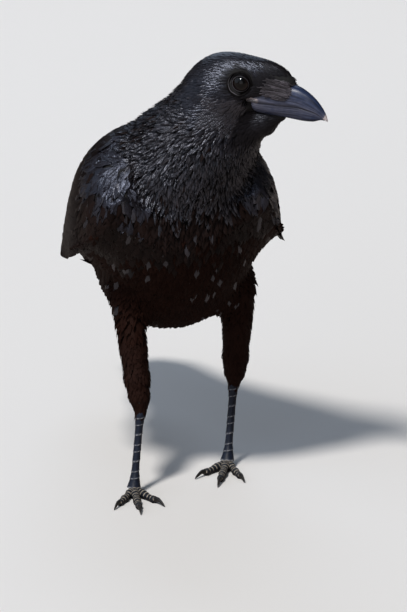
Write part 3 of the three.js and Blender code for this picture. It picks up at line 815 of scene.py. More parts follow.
# ------------------------------------------------------------------ folded wings
WING_FRONT, WING_TIP = -62, 242
WING_BAKE_LENGTH = 310
WING_TOP_OUT = curve([[-62, 52], [-40, 40], [0, 22], [60, 10], [150, 6], [210, 9], [242, 17]])
WING_TOP_HEIGHT = curve(
    [[-62, 248], [-40, 274], [0, 290], [50, 264], [110, 216], [180, 166], [215, 142], [242, 125]]
)
WING_EDGE_OUT = curve(
    [[-62, 60], [-40, 74], [-10, 81], [20, 81], [60, 73], [120, 54], [180, 38], [215, 31], [242, 20]]
)
WING_EDGE_HEIGHT = curve(
    [[-62, 224], [-40, 202], [-10, 189], [20, 185], [60, 176], [120, 156], [180, 135], [242, 122]]
)
WING_BULGE = curve([[-62, 6], [-40, 22], [0, 33], [60, 22], [140, 10], [242, 1]])
WING_THICKNESS = curve([[-62, 3], [-40, 14], [0, 20], [60, 13], [140, 6], [242, 1.6]])
WINGS = {
    "right": {"side": -1, "spread": 3, "lift": 5, "fullness": 0.8},
    "left": {"side": 1, "spread": -1, "lift": 9, "fullness": 0.58},
}


def wing_section(y, spread=0, lift=0):
    """The wing's top edge at y along the bird, and the way from there to its lower edge, as (out, height)."""
    taper = np.clip((WING_TIP - y) / 200, 0, 1)
    top = np.stack([WING_TOP_OUT(y), WING_TOP_HEIGHT(y)], -1)
    edge = np.stack([WING_EDGE_OUT(y) + spread * taper, WING_EDGE_HEIGHT(y) + lift * taper], -1)
    return top, edge - top


def wing_swell(wing, y, t):
    return WING_BULGE(y) * wing["fullness"] * np.sin(np.pi * t**0.8)


def wing_point(wing, y, t, offset):
    """A point on a folded wing: y along the bird, t from its top edge (0) to its lower edge (1)."""
    y, t, offset = np.broadcast_arrays(*(np.asarray(v, float) for v in (y, t, offset)))
    top, across = wing_section(y, wing["spread"], wing["lift"])
    outward = unit(np.stack([-across[..., 1], across[..., 0]], -1))
    out = wing_swell(wing, y, np.clip(t, 0, 1.04)) + offset
    p = top + across * t[..., None] + outward * out[..., None]
    return np.stack([p[..., 0] * wing["side"], y, p[..., 1]], -1)


def wing_vanes(coat, wing, root, tip, half, layer, rows, columns, tilt, lift, blunt, ragged):
    """Vanes laid over a folded wing. root and tip are rows of (y, t); layer is how far out each lies."""
    n = len(root)
    half, layer = (np.broadcast_to(v, n)[:, None, None] for v in (half, layer))
    share = np.linspace(0, 1, rows)
    short = ragged * np.abs(columns) ** 1.6 * (0.7 + 0.6 * rng.random((n, len(columns))))
    s = share[:, None] * (1 - short[:, None, :] * share[:, None] ** 4)
    root_y, root_t = root.T[..., None, None]
    run_y, run_t = (tip - root).T[..., None, None]
    y, t = root_y + run_y * s, root_t + run_t * s
    broad = np.maximum(length_of(wing_section(y)[1]), 3)
    wide = np.interp(s.ravel(), share, leaf(rows, blunt, 0.12)).reshape(s.shape) * half * columns
    slant = run_t * broad / np.maximum(run_y, 1)
    y = y - wide * slant / np.sqrt(1 + slant**2)
    out = layer + lift * s**2 + tilt * wide / np.maximum(half, 1) - 0.08 * columns**2 * half
    made = wing_point(wing, y, t + wide / broad, out)
    home = stacked((root[:, 0] - WING_FRONT) / WING_BAKE_LENGTH, np.clip(root[:, 1], 0, 1) * 0.3 + 0.02)
    if wing["side"] < 0:
        made, columns = made[:, :, ::-1], columns[::-1]
    coat.add_grid(made, columns, home, rng.random(n))


def loft(rings):
    """Quads between closed rings of an equal, even length, with a strip of quads over each end."""
    n, m, _ = rings.shape
    i, j = np.arange(n - 1)[:, None], np.arange(m)[None, :]
    a, b = i * m + j, i * m + (j + 1) % m
    sides = np.stack([a, b, b + m, a + m], -1).reshape(-1, 4)
    k = np.arange(m // 2 - 1)
    cap = np.stack([k + 1, k, m - 1 - k, m - 2 - k], -1)
    return rings.reshape(-1, 3), np.concatenate([sides, cap, cap[:, ::-1] + (n - 1) * m])


def wing_core(name, wing):
    """The folded stack under the outer feathers, a closed shell a little inside the wing's own surface."""
    rows, across = 60, 14
    y = np.linspace(WING_FRONT + 1, WING_TIP - 6, rows)[:, None]
    t = np.linspace(0, 1, across + 1)[None, :]
    outer = wing_point(wing, y, 0.02 + 0.95 * t, -1.4)
    deep = WING_THICKNESS(y) * np.minimum(1, 4 * t * (1 - t) + 0.25)
    inner = wing_point(wing, y, 0.02 + 0.95 * t[:, ::-1], -np.maximum(deep[:, ::-1] - 0.6, 1.9))
    points, faces = loft(np.concatenate([outer, inner], 1))
    if wing["side"] > 0:
        faces = faces[:, ::-1]
    make_object("under_wing_" + name, points, faces, SKIN)


# Rows of flight feathers: how many, the first one's root (y, t), tip (y, t), half-width and layer, the step
# to the next one's, the points along a vane, and its tilt, lift, bluntness and raggedness.
FLIGHT_ROWS = [
    # primaries: long, stacked towards the tip, the outermost lowest
    (8, (60, 0.8, 150, 0.93, 8.5, -0.9), (4, -0.045, 12.6, -0.058, -0.35, 0.06), 22, (0.35, 0.6, 0.86, 0.03)),
    # the inner primaries, over the top of the folded tip
    (5, (66, 0.47, 212, 0.42, 8.0, -0.4), (5, -0.09, 5, -0.085, -0.3, 0.08), 20, (0.4, 0.5, 0.86, 0.03)),
    # secondaries: their tips make the wing's lower edge
    (10, (-6, 0.87, 66, 0.96, 10.5, -0.6), (5, -0.05, 10.5, -0.047, 0.2, 0.10), 20, (0.55, 0.6, 0.84, 0.04)),
    # tertials: broad and rounded, over the folded secondaries
    (4, (22, 0.44, 128, 0.50, 13.0, 0.2), (6, -0.09, 9, -0.10, 0, 0.25), 18, (0.55, 0.7, 0.78, 0.05)),
]


def flight_vanes(name, wing):
    coat = Coat()
    for count, first, step, rows, look in FLIGHT_ROWS:
        row = first + np.arange(count)[:, None] * step
        wing_vanes(coat, wing, row[:, :2], row[:, 2:4], row[:, 4], row[:, 5], rows, FINE, *look)
    coat.finish("flight_vanes_" + name, PLUMAGE["wing"], "flight_feathers", "flight_feathers_" + name)


def covert_vanes(name, wing):
    coat = Coat()
    # greater coverts
    k = np.arange(17)
    wiggle = rng.normal(0, 1, len(k))
    root = np.stack([-30 + 2.2 * k, 0.94 - 0.05 * k], -1)
    tip = np.stack([22 + 2.8 * k + 2 * wiggle, 0.985 - 0.05 * k + 0.012 * wiggle], -1)
    wing_vanes(coat, wing, root, tip, 7.0, 0.0, 13, FINE, tilt=0.8, lift=1.1, blunt=0.7, ragged=0.08)
    # median and lesser coverts, row by row towards the wing's front
    smaller_rows = [(-12, 0.4, 30, 6.0, 18), (-20, 0.6, 26, 5.4, 20), (-28, 0.8, 22, 4.8, 22)]
    for front, layer, long, half, count in smaller_rows:
        t = np.linspace(1.0, 0.02, count) + rng.normal(0, 0.008, count)
        y = front + 18 * np.clip(1 - t, 0, 1) ** 1.3 + rng.normal(0, 0.8, count)
        long = long * (0.9 + 0.2 * rng.random(count))
        root = np.stack([y, t], -1)
        hang = 0.01 + 0.03 * smoothstep(0.72, 1.0, t) * rng.random(count)
        tip = np.stack([y + long, t + hang + rng.normal(0, 0.012, count)], -1)
        half = half * (0.9 + 0.2 * rng.random(count))
        wing_vanes(coat, wing, root, tip, half, layer, 9, np.linspace(-1, 1, 5),
                   tilt=0.75, lift=1.1, blunt=0.62, ragged=0.12)
    coat.finish("coverts_" + name, PLUMAGE["wing"], "plumage", "wing_" + name)


for name, wing in WINGS.items():
    flight_vanes(name, wing)
    covert_vanes(name, wing)
    wing_core(name, wing)


# ------------------------------------------------------------------ the coat over body and wing roots
COVER_RISE = 1.3  # the small feathers of the shoulder lie this far over the wing's own surface


def wing_cover(wing):
    """A smooth field that is negative under a folded wing, so that body feathers can lie over its edges."""

    def field(points):
        x, y, z = points[..., 0] * wing["side"], points[..., 1], points[..., 2]
        along = np.clip(y, WING_FRONT, WING_TIP)
        top, across = wing_section(along, wing["spread"], wing["lift"])
        broad = length_of(across)
        run = across / broad[..., None]
        d = np.stack([x, z], -1) - top
        t = (d * run).sum(-1) / broad
        swell = COVER_RISE + wing_swell(wing, along, np.clip(t, 0, 1))
        high = d[..., 1] * run[..., 0] - d[..., 0] * run[..., 1] - swell
        deep = WING_THICKNESS(along) + 2 + 45 * fade(-5, 40, y)
        beyond = np.maximum(-t, t - 1) * broad
        ends = np.maximum(WING_FRONT - y, y - WING_TIP)
        return np.maximum.reduce([high, -high - deep, beyond, ends, 4 - x])

    return field


def shank_stub(leg):
    """The upper end of the bare leg, so that the lowest feathers lie over it."""
    top = np.array([*leg["ankle"], ANKLE_HEIGHT + 4.0])
    low = np.array([*leg["foot"], TOE_JOINT_HEIGHT])
    return limb(top, top + (low - top) * 0.34, 4.5, 3.9)


covers = [wing_cover(w) for w in WINGS.values()]
over_wings = blend([flesh, *covers], 13)
draped = blend([over_wings, *(shank_stub(leg) for leg in LEGS.values())], 3)


def under_wing(points):
    return np.minimum(covers[0](points), covers[1](points))


def drape_depth(points):
    on_wing = fade(-6, 4, under_wing(points) - flesh(points))
    return coat_depth(points) * (1 - on_wing) + WING_COAT * on_wing


def zones(points):
    """Shares of the coat's kinds at each point: nape, throat, wing root, back."""
    over_wing = fade(-4, 6, under_wing(points) - flesh(points))
    high = smoothstep(214, 262, points[:, 2])
    behind = smoothstep(-0.35, 0.35, unit(slope(draped, points))[:, 1])
    nape = smoothstep(262, 300, points[:, 2]) * behind
    return nape, high * (1 - behind), over_wing, behind


def coat_sizes(points):
    """Spacing, length and half-width of the feathers rooted at each point."""
    face, head, legs = regions(points)
    nape, throat, wing, back = zones(points)
    far_back = smoothstep(-30, 70, points[:, 1])
    out = np.tile([3.1, 18.0, 3.0], (len(points), 1))
    for share, values in [
        (back * (1 - wing), (3.4, 20.0, 3.6)),
        (far_back * (1 - wing), (4.0, 24.0, 4.2)),
        (wing, (3.9, 17.0, 3.9)),
        (wing * far_back, (7.0, 40.0, 8.0)),
        (nape, (2.0, 13.0, 1.5)),
        (throat * (1 - wing), (1.75, 12.5, 0.98)),
        (head, (1.45, 8.2, 0.95)),
        (head * face, (1.2, 5.6, 0.75)),
        (legs, (2.0, 10.5, 1.45)),
    ]:
        out = out * (1 - share[:, None]) + np.array(values) * share[:, None]
    return out


def coat_field(points):
    return np.maximum(draped(points) + drape_depth(points), ANKLE_CUT - 1 - points[..., 2])


COAT_CELL = 3.2
CANDIDATES_PER_ROOT = 7
coat_base, coat_faces = surface_net(coat_field, [-108, -128, 62], [110, 150, 376], COAT_CELL)
coat_tris = np.concatenate([coat_faces[:, [0, 1, 2]], coat_faces[:, [0, 2, 3]]])


def sample_roots():
    corner = coat_base[coat_tris]
    area = length_of(np.cross(corner[:, 1] - corner[:, 0], corner[:, 2] - corner[:, 0])) / 2
    middle = corner.mean(1)
    need = area / coat_sizes(middle)[:, 0] ** 2
    count = int(need.sum() * CANDIDATES_PER_ROOT)
    pick = rng.choice(len(area), count, p=need / need.sum())
    a, b = rng.random(count), rng.random(count)
    flip = a + b > 1
    a[flip], b[flip] = 1 - a[flip], 1 - b[flip]
    weights = np.stack([1 - a - b, a, b], 1)
    return (corner[pick] * weights[..., None]).sum(1)


def wing_place(points):
    """(y, t) of points near a folded wing, whichever side they are on."""
    top, run = wing_section(np.clip(points[:, 1], WING_FRONT, WING_TIP))
    d = np.stack([points[:, 0] * np.sign(points[:, 0]), points[:, 2]], -1) - top
    return points[:, 1], (d * run).sum(-1) / (run * run).sum(-1)


def bare(points):
    """Where no body feather is rooted: under the outer wing feathers, at the eyes and beside the bill."""
    y, t = wing_place(points)
    scapular = 0.30 - 0.0012 * np.maximum(y, 0)
    front = -14 + 5 * np.sin(t * 9) - 14 * t
    covered = ~(((t < scapular) & (y < 104)) | (y < front)) & (under_wing(points) < flesh(points) - 1)
    f, side, up = HEAD.split(points)
    low_side = (up < 9.5) & (up > -23.5)
    beside = (np.abs(side) < bill_side(f, up) + 0.4) & (f > GAPE + 1)
    hidden = covered | (points[:, 2] <= ANKLE_CUT) | (low_side & (beside | (f > 27)))
    for centre in EYES.values():
        hidden |= length_of(points - centre) <= EYE_CLEAR
    return hidden


candidates = sample_roots()
sizes = coat_sizes(candidates)
kept = spread_points(candidates, ~bare(candidates), sizes[:, 0])
roots, sizes = candidates[kept], sizes[kept]
print("roots", len(roots), "of", len(candidates))

# each root's place on the skin's own unwrap
skin_tree = BVHTree.FromPolygons(skin_points.tolist(), skin_faces.tolist())
loop_uv = np.empty(len(skin.data.loops) * 2, np.float32)
skin.data.uv_layers["OFBake"].uv.foreach_get("vector", loop_uv)
face_uv = loop_uv.reshape(-1, 4, 2).mean(1)


def skin_uv(points):
    found = [skin_tree.find_nearest(p)[2] for p in points.tolist()]
    return face_uv[np.array(found)]


root_uv = skin_uv(roots)
_, head_share, leg_share = regions(roots)
nape_share, throat_share, wing_share, back_share = zones(roots)


def wave(points, scale, seed):
    """Smooth noise from a few sine waves, to give neighbouring feathers a common turn."""
    local = np.random.default_rng(seed)
    total = np.zeros(len(points))
    for _ in range(5):
        k = local.normal(0, 1, 3)
        total += np.sin(points @ (k / scale) + local.random() * 6.28)
    return total / 2.5


def lore(points):
    """How far each point lies on the matt black of the lores, eye ring and chin, from 0 to 1."""
    f, _, up = HEAD.split(points)
    from_eye = np.minimum(*(length_of(points - centre) for centre in EYES.values()))
    ring = fade(9, 14.5, from_eye)
    lores = smoothstep(2, 9, f) * fade(3, 10, up)
    chin = smoothstep(-2, 10, f) * fade(-22, -18, up) * smoothstep(-52, -40, up)
    forehead = smoothstep(9, 22, f) * smoothstep(-4, 2, up)
    return np.maximum.reduce([ring, lores * smoothstep(-22, -14, up), chin, forehead])


def cheek_sheen_share(points):
    """How far each point lies on the glossy patch of the cheek, below the ear, from 0 to 1. The patch's lighter
    feathers are a painted sheen.
    """
    f, _, up = HEAD.split(points)
    along = smoothstep(-24, -12, f) * fade(4, 14, f)
    return along * smoothstep(-44, -34, up) * fade(-18, -10, up)


belly_line = 212 + 12 * wave(roots, 16.0, 11) + 7 * rng.normal(0, 1, len(roots))
blur = 0.12 * rng.normal(0, 1, len(roots))
facing_up = unit(slope(draped, roots))[:, 2]
# the plumage of each group and the roots that it takes, of those that the groups before it leave
GROUPS = {
    "legs": ("thigh", leg_share > 0.5),
    "face": ("face", lore(roots) > 0.5 + 1.3 * blur),
    # the cheek patch takes the neck's lighter plumage: a painted sheen
    "cheek": ("neck", cheek_sheen_share(roots) > 0.5 + 2.2 * blur),
    "head": ("head", head_share > 0.5 + 0.9 * blur),
    "shoulders": ("shoulder", (wing_share > 0.5 + blur) & (roots[:, 2] > 246 + 110 * blur)),
    "throat": ("neck", throat_share > 0.55 + 1.6 * blur),
    "nape": ("back", nape_share > 0.4 + blur),
    "back": ("back", (back_share > 0.5 + blur) & (facing_up > -0.05 + blur)),
    "belly": ("belly", roots[:, 2] < belly_line),
    "breast": ("breast", np.ones(len(roots), bool)),
}


def feathers(group, region, mask):
    n = int(mask.sum())
    p, (_, length, wide) = roots[mask], sizes[mask].T
    calm = head_share[mask]
    hair = np.clip(throat_share + 0.6 * nape_share, 0, 1)[mask] * (1 - calm)
    length = length * (0.8 + 0.4 * rng.random(n))
    wide = wide * (0.85 + 0.3 * rng.random(n))
    yaw = rng.normal(0, 0.06 + 0.18 * hair - 0.02 * calm, n)
    yaw += (0.10 + 0.20 * hair - 0.05 * calm) * wave(p, 9.0, 5)
    lift = (0.15 + 0.75 * hair) * (0.4 + 0.5 * wave(p, 7.0, 3)) + rng.normal(0, 0.07 + 0.15 * hair, n)
    lift = np.where(calm > 0.5, 0.12 * rng.random(n), lift)
    fine = group in ("head", "cheek", "face", "legs")
    hackle = group in ("throat", "nape")
    rows = 6 if fine else 7
    path, normal = walk(p, length, drape_depth(p) + 0.25, lift, yaw, rows)
    outline = leaf(rows, 0.25 if hackle else 0.45, 0.3) * wide[:, None]
    roll = rng.normal(0, 0.06 + 0.24 * hair - 0.02 * calm, n)[:, None, None]
    normal = unit(normal + np.cross(unit(np.gradient(path, axis=1)), normal) * roll)
    columns = [-1, 0, 1] if fine or hackle else [-1, -0.62, -0.25, 0.25, 0.62, 1]
    camber, ragged = 0.3 if fine or hackle else 0.16, 0.12 if fine else 0.45
    coat = Coat()
    coat.add(path, normal, outline, columns, root_uv[mask], rng.random(n), camber, ragged)
    coat.finish("feathers_" + group, PLUMAGE[region], "plumage")


free = np.ones(len(roots), bool)
for group, (region, mask) in GROUPS.items():
    feathers(group, region, mask & free)
    free &= ~mask


# ------------------------------------------------------------------ tail
TAIL_ROOT, TAIL_LENGTH = -12, 182
TAIL_FEATHERS = 6  # on each side
TAIL_WIDEST = 27.4
TAIL_HALF = curve([[-15, 14], [60, 20], [140, 26], [182, 27]])


def build_tail():
    coat = Coat()
    rows = 22
    share = np.linspace(0, 1, rows)[:, None]
    outline = leaf(rows, 0.9, 0.08)[:, None]
    for k in range(TAIL_FEATHERS):
        for side in (-1, 1):
            place = (k + 0.35) / TAIL_FEATHERS * side
            long = TAIL_LENGTH - 1 - 7 * (k / (TAIL_FEATHERS - 1)) ** 2 - TAIL_ROOT
            f = TAIL_ROOT + long * share * np.ones(len(FINE))
            f = f - 2.5 * np.abs(FINE) * share**6
            r = place * (TAIL_HALF(f) - 8) + outline * (9.5 + 1.5 * share) * FINE
            r = np.clip(r, -TAIL_WIDEST, TAIL_WIDEST)
            up = 2.0 - 0.62 * k - 3.2 * (r / 27) ** 2 + (0.1 if side > 0 else 0) - 0.25 * FINE * side
            made = TAIL.world(stacked(f, r, up * (1 - 0.25 * share)))[None]
            coat.add_grid(made, FINE, np.array([[0.5 + 0.4 * place, 0.1]]), rng.random(1))
    coat.finish("tail_vanes", PLUMAGE["wing"], "flight_feathers", "tail")


def build_cape():
    """Tertials that meet along the back between the folded wings, and the upper tail coverts under them."""
    rows = 14
    share = np.linspace(0, 1, rows)[:, None]
    outline = leaf(rows, 0.72, 0.2)[:, None]
    edge = share**3 * np.abs(FINE)

    def lay(coat, *place):
        made = stacked(*place)[None]
        coat.add_grid(made, FINE, skin_uv(made[0, :1, 3]), rng.random(1))

    coat = Coat()
    for k in reversed(range(15)):
        side = 1 if k % 2 else -1
        y = 14 + 8.6 * k + (58 + 0.6 * k) * (share - 0.05 * edge)
        x = side * (5.5 - 0.12 * k) * (1 - 0.2 * share) + (14.5 - 0.3 * k) * outline * FINE
        flat = 0.008 + 0.013 * smoothstep(40, 160, y)
        z = WING_TOP_HEIGHT(y) + 2.4 + 1.6 * share**2 - flat * x**2 - 0.05 * side * x
        lay(coat, x, y, z)
    coat.finish("tertial_vanes", PLUMAGE["wing"], "flight_feathers")

    coat = Coat()
    for layer in range(6):
        for side in (-1, 0, 1):
            f = 2 + 4 * abs(side) + (96 - 9 * layer - 5 * abs(side)) * (share - 0.06 * edge)
            r = side * (9 - layer) + (8.5 - 0.4 * layer) * outline * FINE
            up = 4 + 5.5 * layer * (1 - 0.35 * share) - 0.5 * abs(side) - 0.02 * r**2
            made = TAIL.world(stacked(f, r, up))
            lay(coat, made[..., 0], made[..., 1], made[..., 2])
    coat.finish("tail_covert_vanes", PLUMAGE["back"], "plumage")


build_tail()
build_cape()


# ------------------------------------------------------------------ bill
def tube(name, rings, wear, material, replaced=(), turned_out=False):
    """A closed loft with a UV map round it and along it."""
    n, m, _ = rings.shape
    points, faces = loft(rings)
    if turned_out:
        faces = faces[:, ::-1]
    uv = np.stack([np.tile(np.arange(m) / m, n), np.repeat(np.arange(n) / (n - 1), m)], -1)
    corner_uv = uv[faces]
    over_seam = np.ptp(corner_uv[..., 0], axis=1) > 0.5
    corner_uv[..., 0] += over_seam[:, None] & (corner_uv[..., 0] < 0.5)
    uvs, marks = {"Vane": corner_uv.reshape(-1, 2)}, {"wear": wear.ravel()}
    make_object(name, points, faces, material, uvs, marks, replaced)


def mandible_wear(ring, high, upper):
    """How pale the horn is. It is worn along the cutting edge, at the root and at the tip, and a painted
    highlight band runs along the upper mandible from the corner of the mouth.
    """
    f, up = ring[..., 0], ring[..., 2]
    depth, breadth = (0.10, 0.16) if upper else (0.06, 0.22)
    wear = 0.32 - 0.34 * high + depth * bell(high, 0, breadth)
    wear = wear + (0.12 if upper else 0.18) * fade(10, 26, f)
    if upper:
        # a painted highlight band just above the cutting edge, running forward from the corner of the mouth
        highlight_band = bell(up - TOMIUM(f), 1.6, 2.2)
        wear = wear + 0.5 * highlight_band * fade(8, 24, f)
    else:
        wear = wear + 0.12 * fade(40, 66, f)
    return wear + 0.95 * smoothstep(64.5, 69, f) ** 2


def mandible(half, upper):
    rows, sides, flat = 74, 34, 7
    sign = 1 if upper else -1
    start, stop = (GAPE + 1, BILL_TIP) if upper else (GAPE + 4, LOWER_TIP)
    f = start + (stop - start) * np.linspace(0, 1, rows)[:, None] ** 0.9
    tom = TOMIUM(f) + sign * 0.05
    tall = np.maximum(np.abs((CULMEN if upper else GONYS)(f) - tom), 0.35)
    wide = BILL_HALF_WIDTH(f) * (1 if upper else 0.95)
    if not upper:
        # the root of the lower mandible is a rounded knob
        knob = np.sqrt(np.clip(1 - (np.clip(start + 3.5 - f, 0, 3.5) / 3.5) ** 2, 0.02, 1))
        tall, wide = tall * (0.45 + 0.55 * knob), wide * (0.88 + 0.12 * knob)
    angle = np.linspace(0, np.pi, sides + 1)
    across = np.sign(np.cos(angle)) * np.abs(np.cos(angle)) ** 0.8
    rise = np.sin(angle) ** 0.9
    # the cutting edge flares a little, with a shallow groove above it
    near_edge = bell(rise, 0, 0.10)
    groove = bell(rise, 0.22, 0.09)
    flare = 0.12 * near_edge - 0.14 * groove * fade(50, 64, f)
    out = wide * across + np.sign(across) * flare * np.minimum(wide / 6, 1)
    arch = stacked(f, out, tom + sign * tall * rise)
    # the inside of the mouth, hollowed a little
    t = 2 * np.linspace(0, 1, flat + 2)[1:-1] - 1
    palate = stacked(f, wide * t, tom + sign * 0.125 * tall * (1 - t**2))
    ring = np.concatenate([arch, palate], 1)
    # worn and chipped towards the tip
    chip = smoothstep(62, 69, ring[..., 0]) * 0.5
    ring[..., 1] += chip * np.sin(ring[..., 0] * 5.1 + ring[..., 2] * 3.0) * 0.18
    ring[..., 2] += chip * np.sin(ring[..., 0] * 4.3 + ring[..., 1] * 4.0) * 0.22
    high = np.broadcast_to(np.append(rise, np.zeros(flat)), ring.shape[:2])
    wear = mandible_wear(ring, high, upper)
    tube(f"bill_{half}_horn", HEAD.world(ring), wear, BILL_HORN_SKY_TINTED, ["bill_" + half], not upper)


def gape_lip(name, side):
    """The soft fold at the corner of the mouth."""
    s = np.linspace(0, 1, 18)
    f = 6.6 + 11 * s
    out = side * (BILL_HALF_WIDTH(f) + 0.15 - 0.5 * s)
    path = stacked(f, out, TOMIUM(f) + 0.35 + 0.5 * np.sin(np.pi * s))
    radius = (0.85 * (1 - s) ** 0.6 + 0.12) * np.sqrt(np.clip(s / 0.08, 0.05, 1))
    angle = around(12)
    ring = path[:, None] + radius[:, None, None] * stacked(0, np.cos(angle) * 0.8, np.sin(angle))
    wear = 0.75 - 0.3 * s[:, None] * np.ones(len(angle))
    tube("gape_" + name, HEAD.world(ring), wear, GAPE_SKIN)


mandible("upper", True)
mandible("lower", False)
for name, side in HEAD_SIDES.items():
    gape_lip(name, side)


# ------------------------------------------------------------------ eyes and lids
def eye_axes(name, forwards, raised):
    """The ways out of the eye, forward over it and up it."""
    forward = HEAD.turn([1, 0, 0])
    out = unit(HEAD.turn([forwards, HEAD_SIDES[name], raised]))
    front = unit(forward - forward @ out * out)
    up = np.cross(out, front)
    return np.array([out, front, up if up @ HEAD.turn([0, 0, 1]) > 0 else -up])


def eyeball(name):
    angle = np.linspace(0.01, np.pi - 0.01, 40)[:, None]
    turn = around(48)
    cornea = 0.25 * bell(angle, 0, 0.42)
    ring = stacked(np.cos(angle), np.sin(angle) * np.cos(turn), np.sin(angle) * np.sin(turn))
    ring = ring @ eye_axes(name, 0.15, 0.24) * (EYE_RADIUS + cornea)[..., None]
    wear = angle / (np.pi / 2) * np.ones(len(turn))
    tube("eyeball_" + name, EYES[name] + ring, wear, EYE_WET, ["eye_" + name], name == "right")


def eyelids(name):
    """Lids round the opening, with folds that are strongest behind and below the eye."""
    axes = eye_axes(name, 0.20, 0.06)
    rows, sides = 42, 112
    turn = around(sides)
    c, s = np.cos(turn), np.sin(turn)
    opening = 1 / np.sqrt((c / LID_HALF_LONG) ** 2 + (s / LID_HALF_TALL) ** 2) + 0.3 * np.clip(c, 0, 1) ** 6
    behind = smoothstep(-0.2, 0.9, -(0.80 * c + 0.60 * s))
    share = np.linspace(0, 1, rows)[:, None]
    rho = opening + (LID_REACH + 1.6 * behind - opening) * share

    def at(out, rho):
        return EYES[name] + stacked(out, rho * c, rho * s) @ axes

    def buried(out):
        return flesh(at(out, rho)) < -0.25

    # the lids rise from the eyeball to the flesh's own height above the eye's centre
    ground = last_inside(buried, np.full(rho.shape, -3.0), np.full(rho.shape, 11.0), 16)
    ball = np.sqrt(np.maximum((EYE_RADIUS + 0.42) ** 2 - rho**2, 0.2))
    level = between(ball, ground, smoothstep(0.10, 0.85, share))
    roll = 0.30 * bell(rho - opening, 0.30, 0.28)
    folds = 0.26 * np.cos(2 * np.pi * (rho - opening - 1.75) / 1.6) * smoothstep(0.12, 0.3, share)
    folds = folds * fade(0.75, 1.0, share) * (0.25 + 0.75 * behind)
    level = level + roll + folds
    level[0] = np.sqrt(EYE_RADIUS**2 - rho[0] ** 2) - 0.5
    wobble = 0.12 * np.sin(turn * 9 + share * 5) * smoothstep(0.2, 0.5, share)
    points = at(level, rho + wobble)
    rim = bell(rho - opening, 0.30, 0.15) * (0.30 + 0.70 * behind)
    ridge = np.clip(folds / 0.26, 0, 1) ** 8 * behind + 0.9 * rim
    # the sheet is closed underneath, so that it is a solid ring
    under = points[::-1] - axes[0] * 1.3 * np.sin(np.pi * np.clip(share[::-1], 0.02, 0.98))[..., None]
    grid = np.concatenate([points, under[1:-1]])
    wear = np.concatenate([ridge, np.zeros((rows - 2, sides))])
    number = np.arange(wear.size).reshape(wear.shape)
    beside = np.roll(number, -1, 1)
    faces = np.stack([number, beside, np.roll(beside, -1, 0), np.roll(number, -1, 0)], -1).reshape(-1, 4)
    if name == "left":
        faces = faces[:, ::-1]
    marks = {"wear": wear.ravel()}
    make_object("eyelids_" + name, grid.reshape(-1, 3), faces, LID_SKIN, marks=marks)


for name in EYES:
    eyeball(name)
    eyelids(name)


# ------------------------------------------------------------------ nasal bristles
def cheek(f, side, up):
    """The half-width of face and bill together at a place on the head."""

    def inside(out):
        return flesh(HEAD.world(stacked(f, side * out, up))) < 0

    return np.maximum(last_inside(inside, np.zeros(f.shape), np.full(f.shape, 30.0), 18), bill_side(f, up))


def bristles(name, side):
    coat = Coat()
    for layer, (count, half, rise) in enumerate([(110, 0.75, 0.25), (170, 0.42, 0.7), (150, 0.28, 1.15)]):
        up0 = np.minimum(-5.4 + 13.2 * rng.random(count) + rng.normal(0, 1.0, count), 7.2)
        start = 19.0 + 0.26 * (up0 + 6)
        f0 = start + rng.normal(0, 2.6, count) + 10 * rng.random(count) ** 1.1
        high = np.clip((up0 + 1) / 6.2, 0, None)
        reach = 39.6 - 2.5 * high**3.2 - 0.06 * np.clip(-1 - up0, 0, None) ** 2 + rng.normal(0, 0.7, count)
        length = np.clip(reach - f0, 3, 16) * (0.86 + 0.14 * rng.random(count))
        s = np.linspace(0, 1, 9)
        f = f0[:, None] + length[:, None] * s
        drift = (-0.22 * np.clip(up0 + 2, -3, 9) * length / 14 + rng.normal(0, 0.5, count))[:, None]
        up = up0[:, None] + drift * s + rng.normal(0, 0.35, count)[:, None] * s * (1 - s) * 4
        out = cheek(f, side, np.minimum(up, CULMEN(f) - 0.15))
        lift = rise + rng.normal(0, 0.12, count)[:, None]
        lift = lift + (0.35 + 0.3 * layer) * s**2 * rng.random(count)[:, None]
        path = HEAD.world(stacked(f, side * (out + lift * 0.9), up + lift * 0.25))
        normal = unit(np.broadcast_to(HEAD.turn([0, side, 0.15]), path.shape))
        width = half * (1 - 0.75 * s**1.5) * (0.8 + 0.4 * rng.random(count))[:, None]
        tone = (1.05 * rng.random(count) ** 1.5 - 0.12) * smoothstep(-1.5, 6.5, f0 - start + 0.8 * layer)
        coat.add(path, normal, width, [-1, 0, 1], skin_uv(path[:, 0]), tone, camber=0.5, ragged=0.1)
    coat.finish("bristles_" + name, BRISTLE, "plumage")


for name, side in HEAD_SIDES.items():
    bristles(name, side)


# ------------------------------------------------------------------ bare legs, toes and claws
TARSUS_GIRTH = curve([[0, 4.4], [0.12, 3.6], [0.3, 2.8], [0.75, 2.8], [0.88, 3.7], [1, 5.2]])
TOES = {
    "middle": {"turn": 2, "reach": 40, "radius": 3.2, "joints": 3, "claw": 14},
    "inner": {"turn": 32, "reach": 28, "radius": 3.1, "joints": 2, "claw": 13},
    "outer": {"turn": -24, "reach": 32, "radius": 2.9, "joints": 3, "claw": 12},
    "hallux": {"turn": 174, "reach": 21, "radius": 3.4, "joints": 1, "claw": 17},
}
UP = [0.0, 0.0, 1.0]


def plates(count, phases):
    """Stations along a limb that gather at each plate's lower edge, with their phases on their plates."""
    place = (np.arange(count)[:, None] + np.array(phases)[None]).ravel() / count
    phase = np.tile(np.array(phases), count)
    return np.append(place, 1.0), np.append(phase, 1.0)


